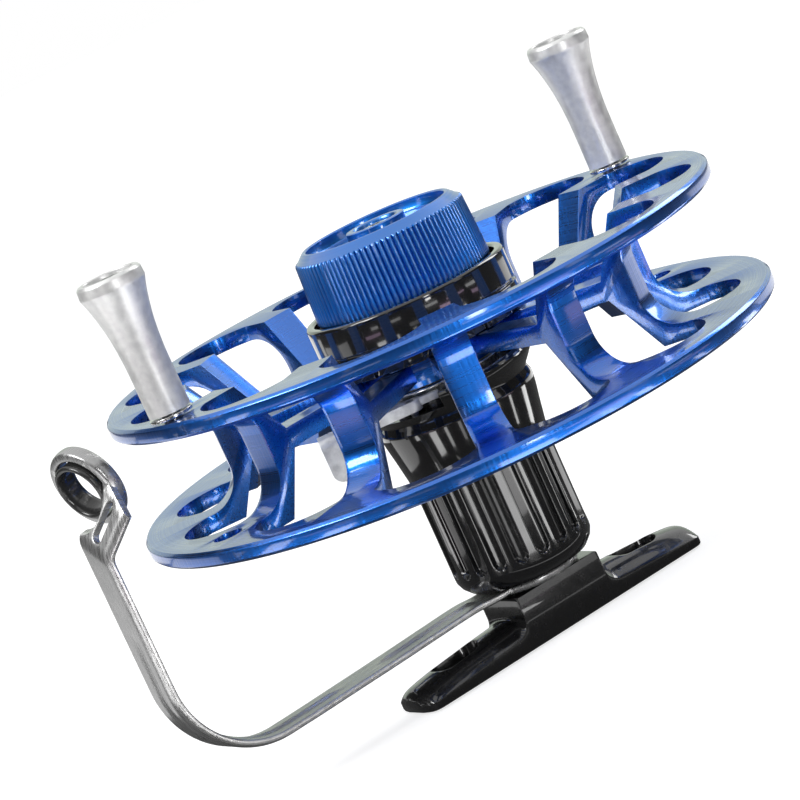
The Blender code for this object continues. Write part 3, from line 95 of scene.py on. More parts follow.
# %% Backdrop and floor
WHITE = (1, 1, 1)
FLOOR_HEIGHT = -0.3 * MM
FLOOR_REACH = 3.0
FLOOR_GREY = 0.5
FLOOR_GLOW = 0.72
ROOM_LIGHT = 0.55


def node_link(tree, source, output, target, socket):
    """Joins an output of one shader node to an input of another."""
    tree.links.new(source.outputs[output], target.inputs[socket])


def new_node(tree, kind, *joined, operation=None, **values):
    """A shader node. Each of joined is (input, node, its output). In the names of values _ is a space."""
    node = tree.nodes.new("ShaderNode" + kind)
    if operation:
        node.operation = operation
    for socket, source, output in joined:
        node_link(tree, source, output, node, socket)
    for label, value in values.items():
        node.inputs[label.replace("_", " ")].default_value = value
    return node


def two_in_one(tree, operation, first, second):
    """A Math node over two pairs of (node, output)."""
    return new_node(tree, "Math", (0, *first), (1, *second), operation=operation)


def seen_directly(tree):
    """1 for rays from the camera, off gloss or through glass, else 0."""
    path = new_node(tree, "LightPath")
    first = two_in_one(tree, "MAXIMUM", (path, "Is Camera Ray"), (path, "Is Glossy Ray"))
    return two_in_one(tree, "MAXIMUM", (first, 0), (path, "Is Transmission Ray"))


def set_backdrop():
    """White where it is seen, and a softer grey where it only gives light."""
    world = bpy.data.worlds.new("studio_white")
    bpy.context.scene.world = world
    world.use_nodes = True
    tree = world.node_tree
    background = tree.nodes["Background"]
    background.inputs["Color"].default_value = (*WHITE, 1)
    level = new_node(tree, "MapRange", ("Value", seen_directly(tree), 0), To_Min=ROOM_LIGHT, To_Max=1.0)
    node_link(tree, level, "Result", background, "Strength")


def open_mesh(name, bm):
    """Makes a mesh of what was built."""
    mesh = bpy.data.meshes.new(name)
    bm.to_mesh(mesh)
    bm.free()
    return mesh


def grid_mesh(name, segments, size):
    """A flat square."""
    bm = bmesh.new()
    bmesh.ops.create_grid(bm, x_segments=segments, y_segments=segments, size=size)
    return open_mesh(name, bm)


def new_material(name):
    """A material and its nodes."""
    material = bpy.data.materials.new(name)
    material.use_nodes = True
    return material, material.node_tree


def make_floor():
    """A wide white floor that glows for the camera and still takes a soft shadow."""
    floor = link_object("studio_floor", grid_mesh("studio_floor", 2, FLOOR_REACH))
    floor.location = (0, 0, FLOOR_HEIGHT)
    material, tree = new_material("floor_white")
    matt = tree.nodes["Principled BSDF"]
    matt.inputs["Base Color"].default_value = (FLOOR_GREY, FLOOR_GREY, FLOOR_GREY, 1)
    matt.inputs["Roughness"].default_value = 0.9
    level = new_node(tree, "MapRange", ("Value", seen_directly(tree), 0), To_Max=FLOOR_GLOW)
    glow = new_node(tree, "Emission", ("Strength", level, "Result"))
    both = new_node(tree, "AddShader", (0, matt, "BSDF"), (1, glow, "Emission"))
    node_link(tree, both, "Shader", tree.nodes["Material Output"], "Surface")
    floor.data.materials.append(material)


set_backdrop()
make_floor()
print("floor at", FLOOR_HEIGHT, "m")

# %% Lamps and cards
AIM = Vector((0, 0, 45)) * MM
camera_side = (view_place - AIM).normalized()


def point_at(thing, place):
    """Stands a lamp or a card at a place and turns its face to the reel."""
    thing.location = place
    thing.rotation_euler = (AIM - place).to_track_quat("-Z", "Y").to_euler()


def around(turn, distance, height):
    """A place round the reel, at an angle in degrees from the camera's side."""
    way = Vector((camera_side.x, camera_side.y, 0)).normalized()
    way.rotate(Matrix.Rotation(math.radians(turn), 3, "Z"))
    return way * distance + Vector((0, 0, height))


def add_lamp(name, place, width, height, watts):
    """One softbox."""
    data = bpy.data.lights.new(name, "AREA")
    data.shape = "RECTANGLE"
    data.size = width
    data.size_y = height
    data.energy = watts
    point_at(link_object(name, data), place)


def only_in_gloss(card, level, colour):
    """Gives a card its level of light and hides it from everything but gloss."""
    material, tree = new_material(card.name)
    glow = new_node(tree, "Emission", Color=(*colour, 1), Strength=level)
    node_link(tree, glow, "Emission", tree.nodes["Material Output"], "Surface")
    card.data.materials.append(material)
    for ray in ("camera", "diffuse", "shadow", "transmission"):
        setattr(card, "visible_" + ray, False)


def add_card(name, place, width, height, level, colour=WHITE):
    """A flat card that faces the reel."""
    mesh = grid_mesh(name, 1, 0.5)
    mesh.transform(Matrix.Diagonal((width, height, 1, 1)))
    card = link_object(name, mesh)
    point_at(card, place)
    only_in_gloss(card, level, colour)
    return card


def add_sheet(name, rows, level, colour=WHITE):
    """A sheet through rows of points, two to a row."""
    bm = bmesh.new()
    pairs = [[bm.verts.new(point) for point in row] for row in rows]
    for first, second in zip(pairs, pairs[1:]):
        bm.faces.new((first[0], second[0], second[1], first[1]))
    only_in_gloss(link_object(name, open_mesh(name, bm)), level, colour)


add_lamp("key_softbox", around(-65, 0.9, 0.75), 0.5, 0.5, 9.0)
add_lamp("rim_softbox", around(125, 0.9, 0.5), 0.3, 0.6, 3.0)
add_lamp("front_strip", around(18, 0.75, 0.16), 0.08, 0.5, 1.5)
cloth_turns = [-140 + 280 * step / 24 for step in range(25)]
add_sheet("dark_cloth", [[around(turn, 1.3, height) for height in (0.0, 1.1)] for turn in cloth_turns], 0.05)
add_card("left_strip", around(-82, 1.1, 0.3), 0.16, 0.9, 1.3)
add_card("right_strip", around(58, 1.1, 0.3), 0.2, 0.9, 1.2)
add_card("near_strip", around(-28, 1.1, 0.35), 0.05, 0.8, 0.9)
add_card("far_card", around(180, 1.6, 0.42), 2.6, 1.0, 0.74, (0.9, 1.0, 0.88))
floor_card = add_card("floor_card", Vector((0, 0, -0.2)) * MM, 2.6, 2.6, 0.08)
floor_card.rotation_euler = (0, 0, 0)
ARM_EDGE_STRIP = [[(-45, -98), (12, -104)], [(32, -245), (96, -235)]]
add_sheet("arm_edge_strip", [[Vector((x, y, -0.15)) * MM for x, y in row] for row in ARM_EDGE_STRIP], 2.4)

# Each row: start and end in degrees from the camera's side, near and far reach in metres, level.
STRIPS = ((-125, -84, 0.09, 0.35, 1.0), (-73, -64, 0.12, 0.36, 3.4), (-50, -40, 0.075, 0.2, 4.2),
          (-28, -24, 0.075, 0.2, 3.2), (-8, -4, 0.075, 0.2, 1.8), (4, 21, 0.075, 0.2, 4.4),
          (36, 40, 0.075, 0.2, 4.6), (48, 54, 0.075, 0.2, 5.4), (73, 77, 0.075, 0.2, 4.6),
          (102, 112, 0.075, 0.2, 4.6), (-10, 3, 0.22, 0.26, 0.8), (-30, 100, 0.06, 0.066, 1.3),
          (-50, -42, 0.4, 0.5, 2.0), (-30, -16, 0.4, 0.5, 1.8), (12, 26, 0.4, 0.5, 2.6),
          (62, 78, 0.4, 0.5, 2.4), (-165, -127, 0.2, 0.5, 1.1), (118, 165, 0.2, 0.5, 1.1))
RIM_STRIPS = ((-60, -42, 0.262, 0.31, 1.4), (26, 50, 0.262, 0.31, 3.0), (66, 84, 0.262, 0.31, 1.6),
              (36, 58, 0.36, 0.399, 2.4), (-40, -28, 0.36, 0.399, 1.2))
LAVENDER = (1, 0.72, 1)
STRIP_HEIGHT = -0.1 * MM
for strips, colour in ((STRIPS, WHITE), (RIM_STRIPS, LAVENDER)):
    for start, end, near, far, level in strips:
        rows = [[around(turn, reach, STRIP_HEIGHT) for turn in (start, end)] for reach in (near, far)]
        add_sheet(f"floor_strip_{start}_{round(near / MM)}", rows, level, colour)

# %% [markdown]
# ## Effects that several finishes share
# Turned faces carry fine rings, milled walls carry upright steps, and blasted metal is grainy all
# over. Each effect is a small group of nodes that is built once, so every finish can use it with
# its own numbers. A group only puts out a height or a mask.

# %% Shared effects
def new_group(name, numbers, outputs=("Height",)):
    """An empty group of shader nodes: a place and numbers go in, and numbers come out."""
    tree = bpy.data.node_groups.new(name, "ShaderNodeTree")
    tree.interface.new_socket("Place", in_out="INPUT", socket_type="NodeSocketVector")
    for label, value in numbers.items():
        socket = tree.interface.new_socket(label, in_out="INPUT", socket_type="NodeSocketFloat")
        socket.default_value = value
    for label in outputs:
        tree.interface.new_socket(label, in_out="OUTPUT", socket_type="NodeSocketFloat")
    return tree, tree.nodes.new("NodeGroupInput"), tree.nodes.new("NodeGroupOutput")


def stretched(tree, source, output, stretch):
    """A place with its axes scaled, which draws a texture out."""
    step = new_node(tree, "VectorMath", (0, source, output), operation="MULTIPLY")
    step.inputs[1].default_value = stretch
    return step


def turned_rings_group():
    """Fine rings round the local Z axis, as a lathe tool leaves them."""
    tree, start, end = new_group("turned_rings", {"Rings per metre": 4000.0, "Unevenness": 0.3})
    parts = new_node(tree, "SeparateXYZ", ("Vector", start, "Place"))
    flat = new_node(tree, "CombineXYZ", ("X", parts, "X"), ("Y", parts, "Y"))
    radius = new_node(tree, "VectorMath", (0, flat, "Vector"), operation="LENGTH")
    along = new_node(tree, "CombineXYZ", ("X", radius, "Value"), ("Y", parts, "Z"))
    rings = new_node(tree, "TexNoise", ("Vector", along, "Vector"), ("Scale", start, "Rings per metre"),
                     Detail=2.0)
    patches = new_node(tree, "TexNoise", ("Vector", start, "Place"), Scale=160.0)
    soften = two_in_one(tree, "MULTIPLY", (patches, "Fac"), (start, "Unevenness"))
    total = two_in_one(tree, "ADD", (rings, "Fac"), (soften, 0))
    node_link(tree, total, 0, end, "Height")
    return tree


def milled_steps_group():
    """Upright steps on a wall cut by an end mill, irregular from step to step."""
    tree, start, end = new_group("milled_steps", {"Steps per metre": 2200.0})
    upright = stretched(tree, start, "Place", (1.0, 1.0, 0.03))
    steps = new_node(tree, "TexNoise", ("Vector", upright, "Vector"), ("Scale", start, "Steps per metre"),
                     Detail=1.0, Roughness=0.6)
    node_link(tree, steps, "Fac", end, "Height")
    return tree


def blasted_grain_group():
    """Grain of a bead-blasted or cast skin, with softer blotches under it."""
    tree, start, end = new_group("blasted_grain", {"Grains per metre": 5000.0, "Blotch share": 0.4},
                                 ("Height", "Blotches"))
    grain = new_node(tree, "TexNoise", ("Vector", start, "Place"), ("Scale", start, "Grains per metre"),
                     Detail=3.0, Roughness=0.7)
    blotch = new_node(tree, "TexNoise", ("Vector", start, "Place"), Scale=700.0, Detail=4.0)
    mix = new_node(tree, "Mix", ("Factor", start, "Blotch share"), ("A", grain, "Fac"), ("B", blotch, "Fac"))
    node_link(tree, mix, "Result", end, "Height")
    node_link(tree, blotch, "Fac", end, "Blotches")
    return tree


def worn_and_highlit_edges_group():
    """A mask of the sharp outer edges, where a finish wears thin first and where a painted edge highlight
    lies.
    """
    tree, start, end = new_group("worn_and_highlit_edges", {"Amount": 0.5}, ("Mask",))
    shape = new_node(tree, "NewGeometry")
    sharp = new_node(tree, "MapRange", ("Value", shape, "Pointiness"), From_Min=0.53, From_Max=0.62)
    breakup = new_node(tree, "TexNoise", ("Vector", start, "Place"), Scale=900.0)
    uneven = two_in_one(tree, "MULTIPLY", (sharp, "Result"), (breakup, "Fac"))
    amount = two_in_one(tree, "MULTIPLY", (uneven, 0), (start, "Amount"))
    node_link(tree, amount, 0, end, "Mask")
    return tree


turned_rings = turned_rings_group()
milled_steps = milled_steps_group()
blasted_grain = blasted_grain_group()
worn_and_highlit_edges = worn_and_highlit_edges_group()
print("node groups:", [tree.name for tree in bpy.data.node_groups])

# %% [markdown]
# ## Finishes
# Anodised aluminium is metal under a clear hard skin, so it is a metallic shader with a coat: the
# coat gives the pale sheen at a low angle. Level faces were turned, so they carry rings, and the
# upright walls of the pockets were milled, so they carry steps. The normal tells the two apart.

# %% Helpers for finishes
def new_finish(name, colour, metallic, roughness, coat=0.0, coat_roughness=0.1, coat_index=1.5):
    """A material with one Principled shader, and coordinates that stay with the piece when it moves."""
    material, tree = new_material(name)
    shader = tree.nodes["Principled BSDF"]
    values = {"Base Color": (*colour, 1), "Metallic": metallic, "Roughness": roughness, "Coat Weight": coat,
              "Coat Roughness": coat_roughness, "Coat IOR": coat_index}
    for label, value in values.items():
        shader.inputs[label].default_value = value
    return material, tree, shader, new_node(tree, "TexCoord")


def use_group(tree, group, place, **values):
    """Puts a shared effect into a finish."""
    step = new_node(tree, "Group")
    step.node_tree = group
    node_link(tree, place, "Object", step, "Place")
    for label, value in values.items():
        step.inputs[label.replace("_", " ")].default_value = value
    return step


def bump(tree, source, output, distance, *before):
    """Turns a height into a bent normal."""
    return new_node(tree, "Bump", ("Height", source, output), *before, Distance=distance, Strength=1.0)


def vary(tree, source, output, low, high, shader):
    """Spreads a mask over a range of roughness."""
    step = new_node(tree, "MapRange", ("Value", source, output), From_Min=0.3, From_Max=0.7, To_Min=low,
                    To_Max=high)
    node_link(tree, step, "Result", shader, "Roughness")


def tint(tree, source, output, first, second, shader):
    """Mixes two colours by a mask."""
    step = new_node(tree, "Mix", (0, source, output))
    step.data_type = "RGBA"
    step.inputs[6].default_value = (*first, 1)
    step.inputs[7].default_value = (*second, 1)
    node_link(tree, step, 2, shader, "Base Color")


def worn_and_highlit_tint(tree, place, amount, colour, pale_edge_colour, shader):
    """The finish's colour, with a paler one on its sharp edges, partly for wear and partly as a painted
    highlight.
    """
    edges = use_group(tree, worn_and_highlit_edges, place, Amount=amount)
    tint(tree, edges, "Mask", colour, pale_edge_colour, shader)


print("finish helpers ready")

# %% Blue anodised finishes
BLUE = (0.0075, 0.13, 0.55)
KNOB_BLUE = (0.010, 0.165, 0.58)
# The pale edge colour that follows is partly wear and partly a painted edge highlight.
BLUE_WORN_AND_HIGHLIT = (0.24, 0.36, 0.72)
BLUE_COAT = (0.9, 0.09, 1.75)


def level_mask(tree, place):
    """1 on faces that look up or down, 0 on walls, in the piece's own axes."""
    parts = new_node(tree, "SeparateXYZ", ("Vector", place, "Normal"))
    size = new_node(tree, "Math", (0, parts, "Z"), operation="ABSOLUTE")
    return new_node(tree, "MapRange", ("Value", size, 0), From_Min=0.6, From_Max=0.8)


def make_blue(name, colour, roughness, ring_depth, step_depth, edge_wear_and_highlight):
    """Anodised blue with turned rings on level faces, milled steps on walls, and paler edges that are partly
    wear and partly a painted highlight.
    """
    material, tree, shader, place = new_finish(name, colour, 1.0, roughness, *BLUE_COAT)
    rings = use_group(tree, turned_rings, place, Rings_per_metre=3800.0, Unevenness=0.2)
    steps = use_group(tree, milled_steps, place, Steps_per_metre=1900.0)
    level = level_mask(tree, place)
    ring_height = two_in_one(tree, "MULTIPLY", (rings, "Height"), (level, "Result"))
    wall = new_node(tree, "Math", (1, level, "Result"), operation="SUBTRACT")
    wall.inputs[0].default_value = 1.0
    step_height = two_in_one(tree, "MULTIPLY", (steps, "Height"), (wall, 0))
    first = bump(tree, ring_height, 0, ring_depth)
    second = bump(tree, step_height, 0, step_depth, ("Normal", first, "Normal"))
    node_link(tree, second, "Normal", shader, "Normal")
    vary(tree, rings, "Height", roughness * 0.8, roughness * 1.3, shader)
    worn_and_highlit_tint(tree, place, edge_wear_and_highlight, colour, BLUE_WORN_AND_HIGHLIT, shader)
    return material


spool_blue = make_blue("spool_blue", BLUE, 0.26, 0.004 * MM, 0.05 * MM, 0.5)
knob_blue = make_blue("knob_blue", KNOB_BLUE, 0.34, 0.006 * MM, 0.01 * MM, 1.1)
print("blue finishes:", spool_blue.name, knob_blue.name)

# %% [markdown]
# The body, the cup and the foot are black under a thick gloss lacquer, which is never quite flat.
# The handles are silver with a fine blasted grain. The guide arm is rolled and pressed strip, so its
# grain runs along it; its edges shine, partly from a painted highlight.

# %% Black and silver finishes
BLACK = (0.006, 0.006, 0.0065)
# The paler edge colour that follows is partly wear and partly a painted edge highlight.
BLACK_WORN_AND_HIGHLIT = (0.05, 0.05, 0.052)
HANDLE_SHADES = ((0.7, 0.7, 0.7), (0.84, 0.84, 0.83))
LEVER_SHADES = ((0.7, 0.7, 0.7), (0.97, 0.97, 0.96))


def make_black(name, roughness, wave):
    """Gloss black lacquer with a faint orange-peel wave, and paler edges that are partly wear and partly a
    painted highlight.
    """
    material, tree, shader, place = new_finish(name, BLACK, 0.0, roughness, 1.0, 0.035)
    skin = use_group(tree, blasted_grain, place, Grains_per_metre=1100.0, Blotch_share=0.6)
    node_link(tree, bump(tree, skin, "Height", wave), "Normal", shader, "Normal")
    vary(tree, skin, "Blotches", roughness * 0.8, roughness * 1.5, shader)
    worn_and_highlit_tint(tree, place, 0.35, BLACK, BLACK_WORN_AND_HIGHLIT, shader)
    return material


def make_silver(name, shades, metallic, roughness, grain, grain_depth):
    """Bare metal with a blasted grain. shades holds its dull and its bright colour."""
    material, tree, shader, place = new_finish(name, shades[1], metallic, roughness)
    skin = use_group(tree, blasted_grain, place, Grains_per_metre=grain, Blotch_share=0.35)
    node_link(tree, bump(tree, skin, "Height", grain_depth), "Normal", shader, "Normal")
    vary(tree, skin, "Blotches", roughness * 0.8, roughness * 1.25, shader)
    contrast = new_node(tree, "MapRange", ("Value", skin, "Blotches"), From_Min=0.35, From_Max=0.65)
    tint(tree, contrast, "Result", *shades, shader)
    return material


body_black = make_black("body_black", 0.1, 0.0015 * MM)
cup_black = make_black("cup_black", 0.1, 0.003 * MM)
foot_black = make_black("foot_black", 0.2, 0.005 * MM)
handle_silver = make_silver("handle_silver", HANDLE_SHADES, 0.62, 0.38, 5200.0, 0.012 * MM)
lever_silver = make_silver("lever_silver", LEVER_SHADES, 0.3, 0.36, 2400.0, 0.16 * MM)
print("black and silver finishes made")

# %% Steel, brass and the other finishes
STRIP_GREY = (0.46, 0.46, 0.46)
STRIP_DULL = (0.4, 0.4, 0.4)
# The bright edge colour that follows is partly rubbing and partly a painted edge highlight.
STRIP_RUBBED_AND_HIGHLIT = (0.85, 0.85, 0.84)


def make_strip():
    """Rolled stainless strip: streaks along it, brighter on its edges, partly where it is rubbed and partly
    as a painted highlight.
    """
    material, tree, shader, place = new_finish("arm_stainless", STRIP_GREY, 0.85, 0.3)
    rolled = stretched(tree, place, "Object", (0.08, 1.0, 0.08))
    streaks = new_node(tree, "TexNoise", ("Vector", rolled, "Vector"), Scale=4200.0, Detail=3.0)
    node_link(tree, bump(tree, streaks, "Fac", 0.015 * MM), "Normal", shader, "Normal")
    vary(tree, streaks, "Fac", 0.2, 0.4, shader)
    worn_and_highlit_tint(tree, place, 1.2, STRIP_DULL, STRIP_RUBBED_AND_HIGHLIT, shader)
    return material


def make_ringed(name, colour, roughness, depth, metallic=1.0):
    """A turned piece in bare metal, fibre or ceramic."""
    material, tree, shader, place = new_finish(name, colour, metallic, roughness)
    rings = use_group(tree, turned_rings, place, Rings_per_metre=5000.0, Unevenness=0.3)
    node_link(tree, bump(tree, rings, "Height", depth), "Normal", shader, "Normal")
    vary(tree, rings, "Height", roughness * 0.75, roughness * 1.3, shader)
    return material


arm_stainless = make_strip()
ground_steel = make_ringed("ground_steel", (0.5, 0.5, 0.51), 0.24, 0.01 * MM)
bright_washer = make_ringed("bright_washer", (0.8, 0.8, 0.79), 0.16, 0.01 * MM)
nut_brass = make_ringed("nut_brass", (0.72, 0.5, 0.2), 0.25, 0.01 * MM)
friction_fibre = make_ringed("friction_fibre", (0.12, 0.08, 0.05), 0.75, 0.03 * MM, 0.0)
insert_dark = make_ringed("insert_dark", (0.06, 0.06, 0.06), 0.14, 0.004 * MM, 0.6)
print("materials:", len(bpy.data.materials))

# %% [markdown]
# ## Finishing the solids that keep their shape
# Most of the small solids are right as they are, so they only get a better finish. The solids' own
# vertices stay untouched.

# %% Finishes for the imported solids
NODE_FINISHES = {
    "mounting_foot": foot_black, "guide_arm": arm_stainless, "guide_ring": insert_dark,
    "fluted_body": body_black, "spool": spool_blue, "drag_cup": cup_black, "drag_knob": knob_blue,
    "handle_1": handle_silver, "handle_2": handle_silver, "brake_lever": lever_silver,
    "hub_washer": bright_washer, "handle_washer_1": bright_washer, "handle_washer_2": bright_washer,
    "drag_washer": friction_fibre, "knob_nut": nut_brass,
}


def finish_solid(name, material):
    """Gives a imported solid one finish."""
    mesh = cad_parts[name].data
    mesh.materials.clear()
    mesh.materials.append(material)


for node_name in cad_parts:
    finish_solid(node_name, NODE_FINISHES.get(node_name, ground_steel))
print("finished solids:", len(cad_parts))

# %% [markdown]
# ## Turning finer pieces
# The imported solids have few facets, because physics has to carry them. For the picture the pieces
# that show are turned again with many more steps and with real rounded edges. Each outline is a list
# of (radius, height) points, and a small helper rounds its corners as a file or a stone would.

# %% Mesh helpers
def rounded(points, radius, steps=3, closed=True):
    """An outline with each corner replaced by a short curve."""
    done = []
    count = len(points)
    for number, point in enumerate(points):
        corner = Vector(point)
        if not closed and number in (0, count - 1):
            done.append(tuple(corner))
            continue
        before = Vector(points[number - 1]) - corner
        after = Vector(points[(number + 1) % count]) - corner
        reach = min(radius, before.length * 0.45, after.length * 0.45)
        start = corner + before.normalized() * reach
        end = corner + after.normalized() * reach
        for step in range(steps + 1):
            share = step / steps
            middle = start.lerp(corner, share).lerp(corner.lerp(end, share), share)
            done.append(tuple(middle))
    return done


def smooth_line(points, steps):
    """A line through points, with a smooth curve between them."""
    done = []
    for number in range(len(points) - 1):
        corners = [Vector(points[max(0, min(len(points) - 1, number + shift))])
                   for shift in (-1, 0, 1, 2)]
        for step in range(steps):
            share = step / steps
            low = (corners[2] - corners[0]) / 2
            high = (corners[3] - corners[1]) / 2
            square, cube = share ** 2, share ** 3
            done.append(tuple(corners[1] * (2 * cube - 3 * square + 1) + low * (cube - 2 * square + share)
                              + corners[2] * (3 * square - 2 * cube) + high * (cube - square)))
    done.append(tuple(points[-1]))
    return done


def round_arc(centre, radius, start, end, steps):
    """Points along a round stretch, angles in degrees."""
    points = []
    for step in range(steps + 1):
        angle = math.radians(start + (end - start) * step / steps)
        points.append((centre[0] + radius * math.cos(angle), centre[1] + radius * math.sin(angle)))
    return points


def bridge_loops(bm, first, second):
    """Faces between two loops of as many corners."""
    for number in range(len(first)):
        after = (number + 1) % len(first)
        bm.faces.new((first[number], first[after], second[after], second[number]))


def close_mesh(name, bm):
    """Turns the faces outwards and makes the mesh."""
    bmesh.ops.recalc_face_normals(bm, faces=bm.faces)
    return open_mesh(name, bm)


def in_mm(points):
    """Points written in millimetres, as metres."""
    return [tuple(value * MM for value in point) for point in points]


def box_points(left, right, base, top):
    """Corners of a rectangle, written in millimetres."""
    return in_mm(((left, base), (right, base), (right, top), (left, top)))


def revolve(name, outline, segments, shape=None, closed=True):
    """Spins (radius, height) points round Z. shape(radius, height, angle, number) may change a radius."""
    bm = bmesh.new()
    loops = []
    for number, (radius, height) in enumerate(outline):
        loop = []
        for step in range(segments):
            angle = TURN * step / segments
            reach = shape(radius, height, angle, number) if shape else radius
            loop.append(bm.verts.new((reach * math.cos(angle), reach * math.sin(angle), height)))
        loops.append(loop)
    following = loops[1:] + loops[:1] if closed else loops[1:]
    for first, second in zip(loops, following):
        bridge_loops(bm, first, second)
    if not closed:
        bmesh.ops.remove_doubles(bm, verts=loops[0] + loops[-1], dist=0.0001 * MM)
    return close_mesh(name, bm)


def prism(bm, outline, base, top):
    """A straight prism over an (x, y) outline."""
    lower = [bm.verts.new((x, y, base)) for x, y in outline]
    upper = [bm.verts.new((x, y, top)) for x, y in outline]
    bridge_loops(bm, lower, upper)
    bm.faces.new(lower[::-1])
    bm.faces.new(upper)


def prism_mesh(name, outline, base, top):
    """A mesh of one prism."""
    bm = bmesh.new()
    prism(bm, outline, base, top)
    return close_mesh(name, bm)


def skin_mesh(name, rows):
    """A closed skin through rows of as many points, capped at both ends."""
    bm = bmesh.new()
    loops = [[bm.verts.new(point) for point in row] for row in rows]
    for first, second in zip(loops, loops[1:]):
        bridge_loops(bm, first, second)
    bm.faces.new(loops[0])
    bm.faces.new(loops[-1][::-1])
    return close_mesh(name, bm)


def add_piece(name, mesh, material, body, stands_for, place=(0, 0, 0), sharp=35.0):
    """Puts a finished piece on its body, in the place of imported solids."""
    mesh.materials.clear()
    mesh.materials.append(material)
    mesh.shade_smooth()
    mesh.set_sharp_from_angle(angle=math.radians(sharp))
    piece = link_object(name, mesh)
    piece.location = place
    bpy.context.view_layer.update()
    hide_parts(*stands_for)
    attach(piece, body)


def applied(mesh, kind, **settings):
    """A mesh with one modifier applied to it."""
    work = link_object("work", mesh)
    step = work.modifiers.new(kind.lower(), kind)
    for setting, value in settings.items():
        setattr(step, setting, value)
    bpy.context.view_layer.update()
    done = bpy.data.meshes.new_from_object(work.evaluated_get(bpy.context.evaluated_depsgraph_get()))
    bpy.data.objects.remove(work)
    return done


def carve(mesh, tool_mesh, operation="DIFFERENCE"):
    """Cuts a mesh with another, or joins the two, and returns the result."""
    tool = link_object("tool", tool_mesh)
    done = applied(mesh, "BOOLEAN", operation=operation, solver="EXACT", object=tool)
    bpy.data.objects.remove(tool)
    return done


def soften_edges(mesh, width, segments=2, angle=35.0):
    """Bevels the sharp edges of a mesh."""
    return applied(mesh, "BEVEL", width=width, segments=segments, limit_method="ANGLE",
                   angle_limit=math.radians(angle))


print("mesh helpers ready")

# %% [markdown]
# ## The skeleton spool
# The real spool is one aluminium disc. A lathe cuts the flanges, the groove and the hub, and a mill
# then cuts twelve pockets straight through, which leaves twelve spokes that fork into the flanges.
# Doing the same here, one turned blank minus twelve prisms, gives the same curved edges as the mill.

# %% Spool blank
SPOOL_BASE = 36.9 * MM
SPOOL_TOP = 58.7 * MM
FLANGE = 2.5 * MM
LOWER_RIM = 52.5 * MM
UPPER_RIM = 50.2 * MM
WEB_BASE = 46.25 * MM
WEB_TOP = 49.35 * MM
HUB_BASE = 44.9 * MM
HUB_TOP = 52.8 * MM
HUB_BORE = 8.3 * MM
HUB_HEAD = 12.2 * MM
GROOVE = 5.8 * MM
GROOVE_FLOOR = 35.8 * MM
FLANGE_HOLE = 36.8 * MM
ARM_RING = 31.4 * MM
SPOOL_TURN = 4.8
POCKETS = 12
POCKET_EDGE = 1.9 * MM
POCKET_REACH = 47.8 * MM
POCKET_INNER = 13.2 * MM
RIM_CHAMFER = 0.45 * MM
RIM_EDGE = 0.12 * MM
HUB_RECESS = 10.35 * MM
HANDLE_SPREAD = 46.5 * MM
POST_HOLE = 1.8 * MM
POST_HOLE_BELOW = 2.3 * MM


def rim(radius, base, top):
    """Chamfered outside of one flange."""
    inner = radius - RIM_CHAMFER
    points = [(inner, base), (radius, base + RIM_CHAMFER), (radius, top - RIM_CHAMFER), (inner, top)]
    return rounded(points, RIM_EDGE, 2, False)


def spool_outline():
    """Outline of the turned spool, with rounded rims."""
    low, high = SPOOL_BASE + FLANGE, SPOOL_TOP - FLANGE
    middle = GROOVE_FLOOR + GROOVE
    groove = (round_arc((middle, low + GROOVE), GROOVE, 270, 180, 14)
              + round_arc((middle, high - GROOVE), GROOVE, 180, 90, 14))
    inside = [(FLANGE_HOLE, SPOOL_TOP), (ARM_RING, WEB_TOP), (HUB_HEAD, WEB_TOP), (HUB_HEAD, HUB_TOP),
              (HUB_BORE, HUB_TOP), (HUB_BORE, HUB_BASE), (HUB_RECESS, HUB_BASE), (HUB_RECESS, WEB_BASE),
              (ARM_RING, WEB_BASE), (FLANGE_HOLE, SPOOL_BASE)]
    return rim(LOWER_RIM, SPOOL_BASE, low) + groove + rim(UPPER_RIM, high, SPOOL_TOP) + inside


def pocket_points():
    """One pocket between two spokes, round at its outer end."""
    half = math.pi / POCKETS
    reach = (POCKET_REACH + POCKET_EDGE) / (1 + math.sin(half))
    radius = reach * math.sin(half) - POCKET_EDGE
    outer = round_arc((reach, 0), radius, -90 + math.degrees(half), 90 - math.degrees(half), 32)
    inner = math.degrees(half - math.asin(POCKET_EDGE / POCKET_INNER))
    return outer + round_arc((0, 0), POCKET_INNER, inner, -inner, 8)


def hole_points(centre, radius):
    """A round hole of 24 sides."""
    return round_arc(centre, radius, 0, 345, 23)


def turned_points(points, angle):
    """(x, y) points turned round the axis by an angle in radians."""
    turn = Matrix.Rotation(angle, 2)
    return [tuple(turn @ Vector(point)) for point in points]


spool_mesh = revolve("skeleton_spool", spool_outline(), 240)
pockets = bmesh.new()
for number in range(POCKETS):
    turn = TURN * (number + 0.5) / POCKETS + math.radians(SPOOL_TURN)
    prism(pockets, turned_points(pocket_points(), turn), SPOOL_BASE - MM, SPOOL_TOP + MM)
spool_mesh = carve(spool_mesh, close_mesh("pockets", pockets))
holes = bmesh.new()
for side in (0, math.pi):
    centre = turned_points([(HANDLE_SPREAD, 0)], side + math.radians(SPOOL_TURN))[0]
    prism(holes, hole_points(centre, POST_HOLE), SPOOL_TOP - FLANGE - MM, SPOOL_TOP + MM)
    prism(holes, hole_points(centre, POST_HOLE_BELOW), SPOOL_BASE - MM, SPOOL_BASE + FLANGE + MM)
spool_mesh = carve(spool_mesh, close_mesh("post_holes", holes))
spool_mesh = soften_edges(spool_mesh, 0.2 * MM, 2, 50.0)
add_piece("skeleton_spool", spool_mesh, spool_blue, "spool_assembly", ("spool",), sharp=28.0)
print("spool faces:", len(spool_mesh.polygons))

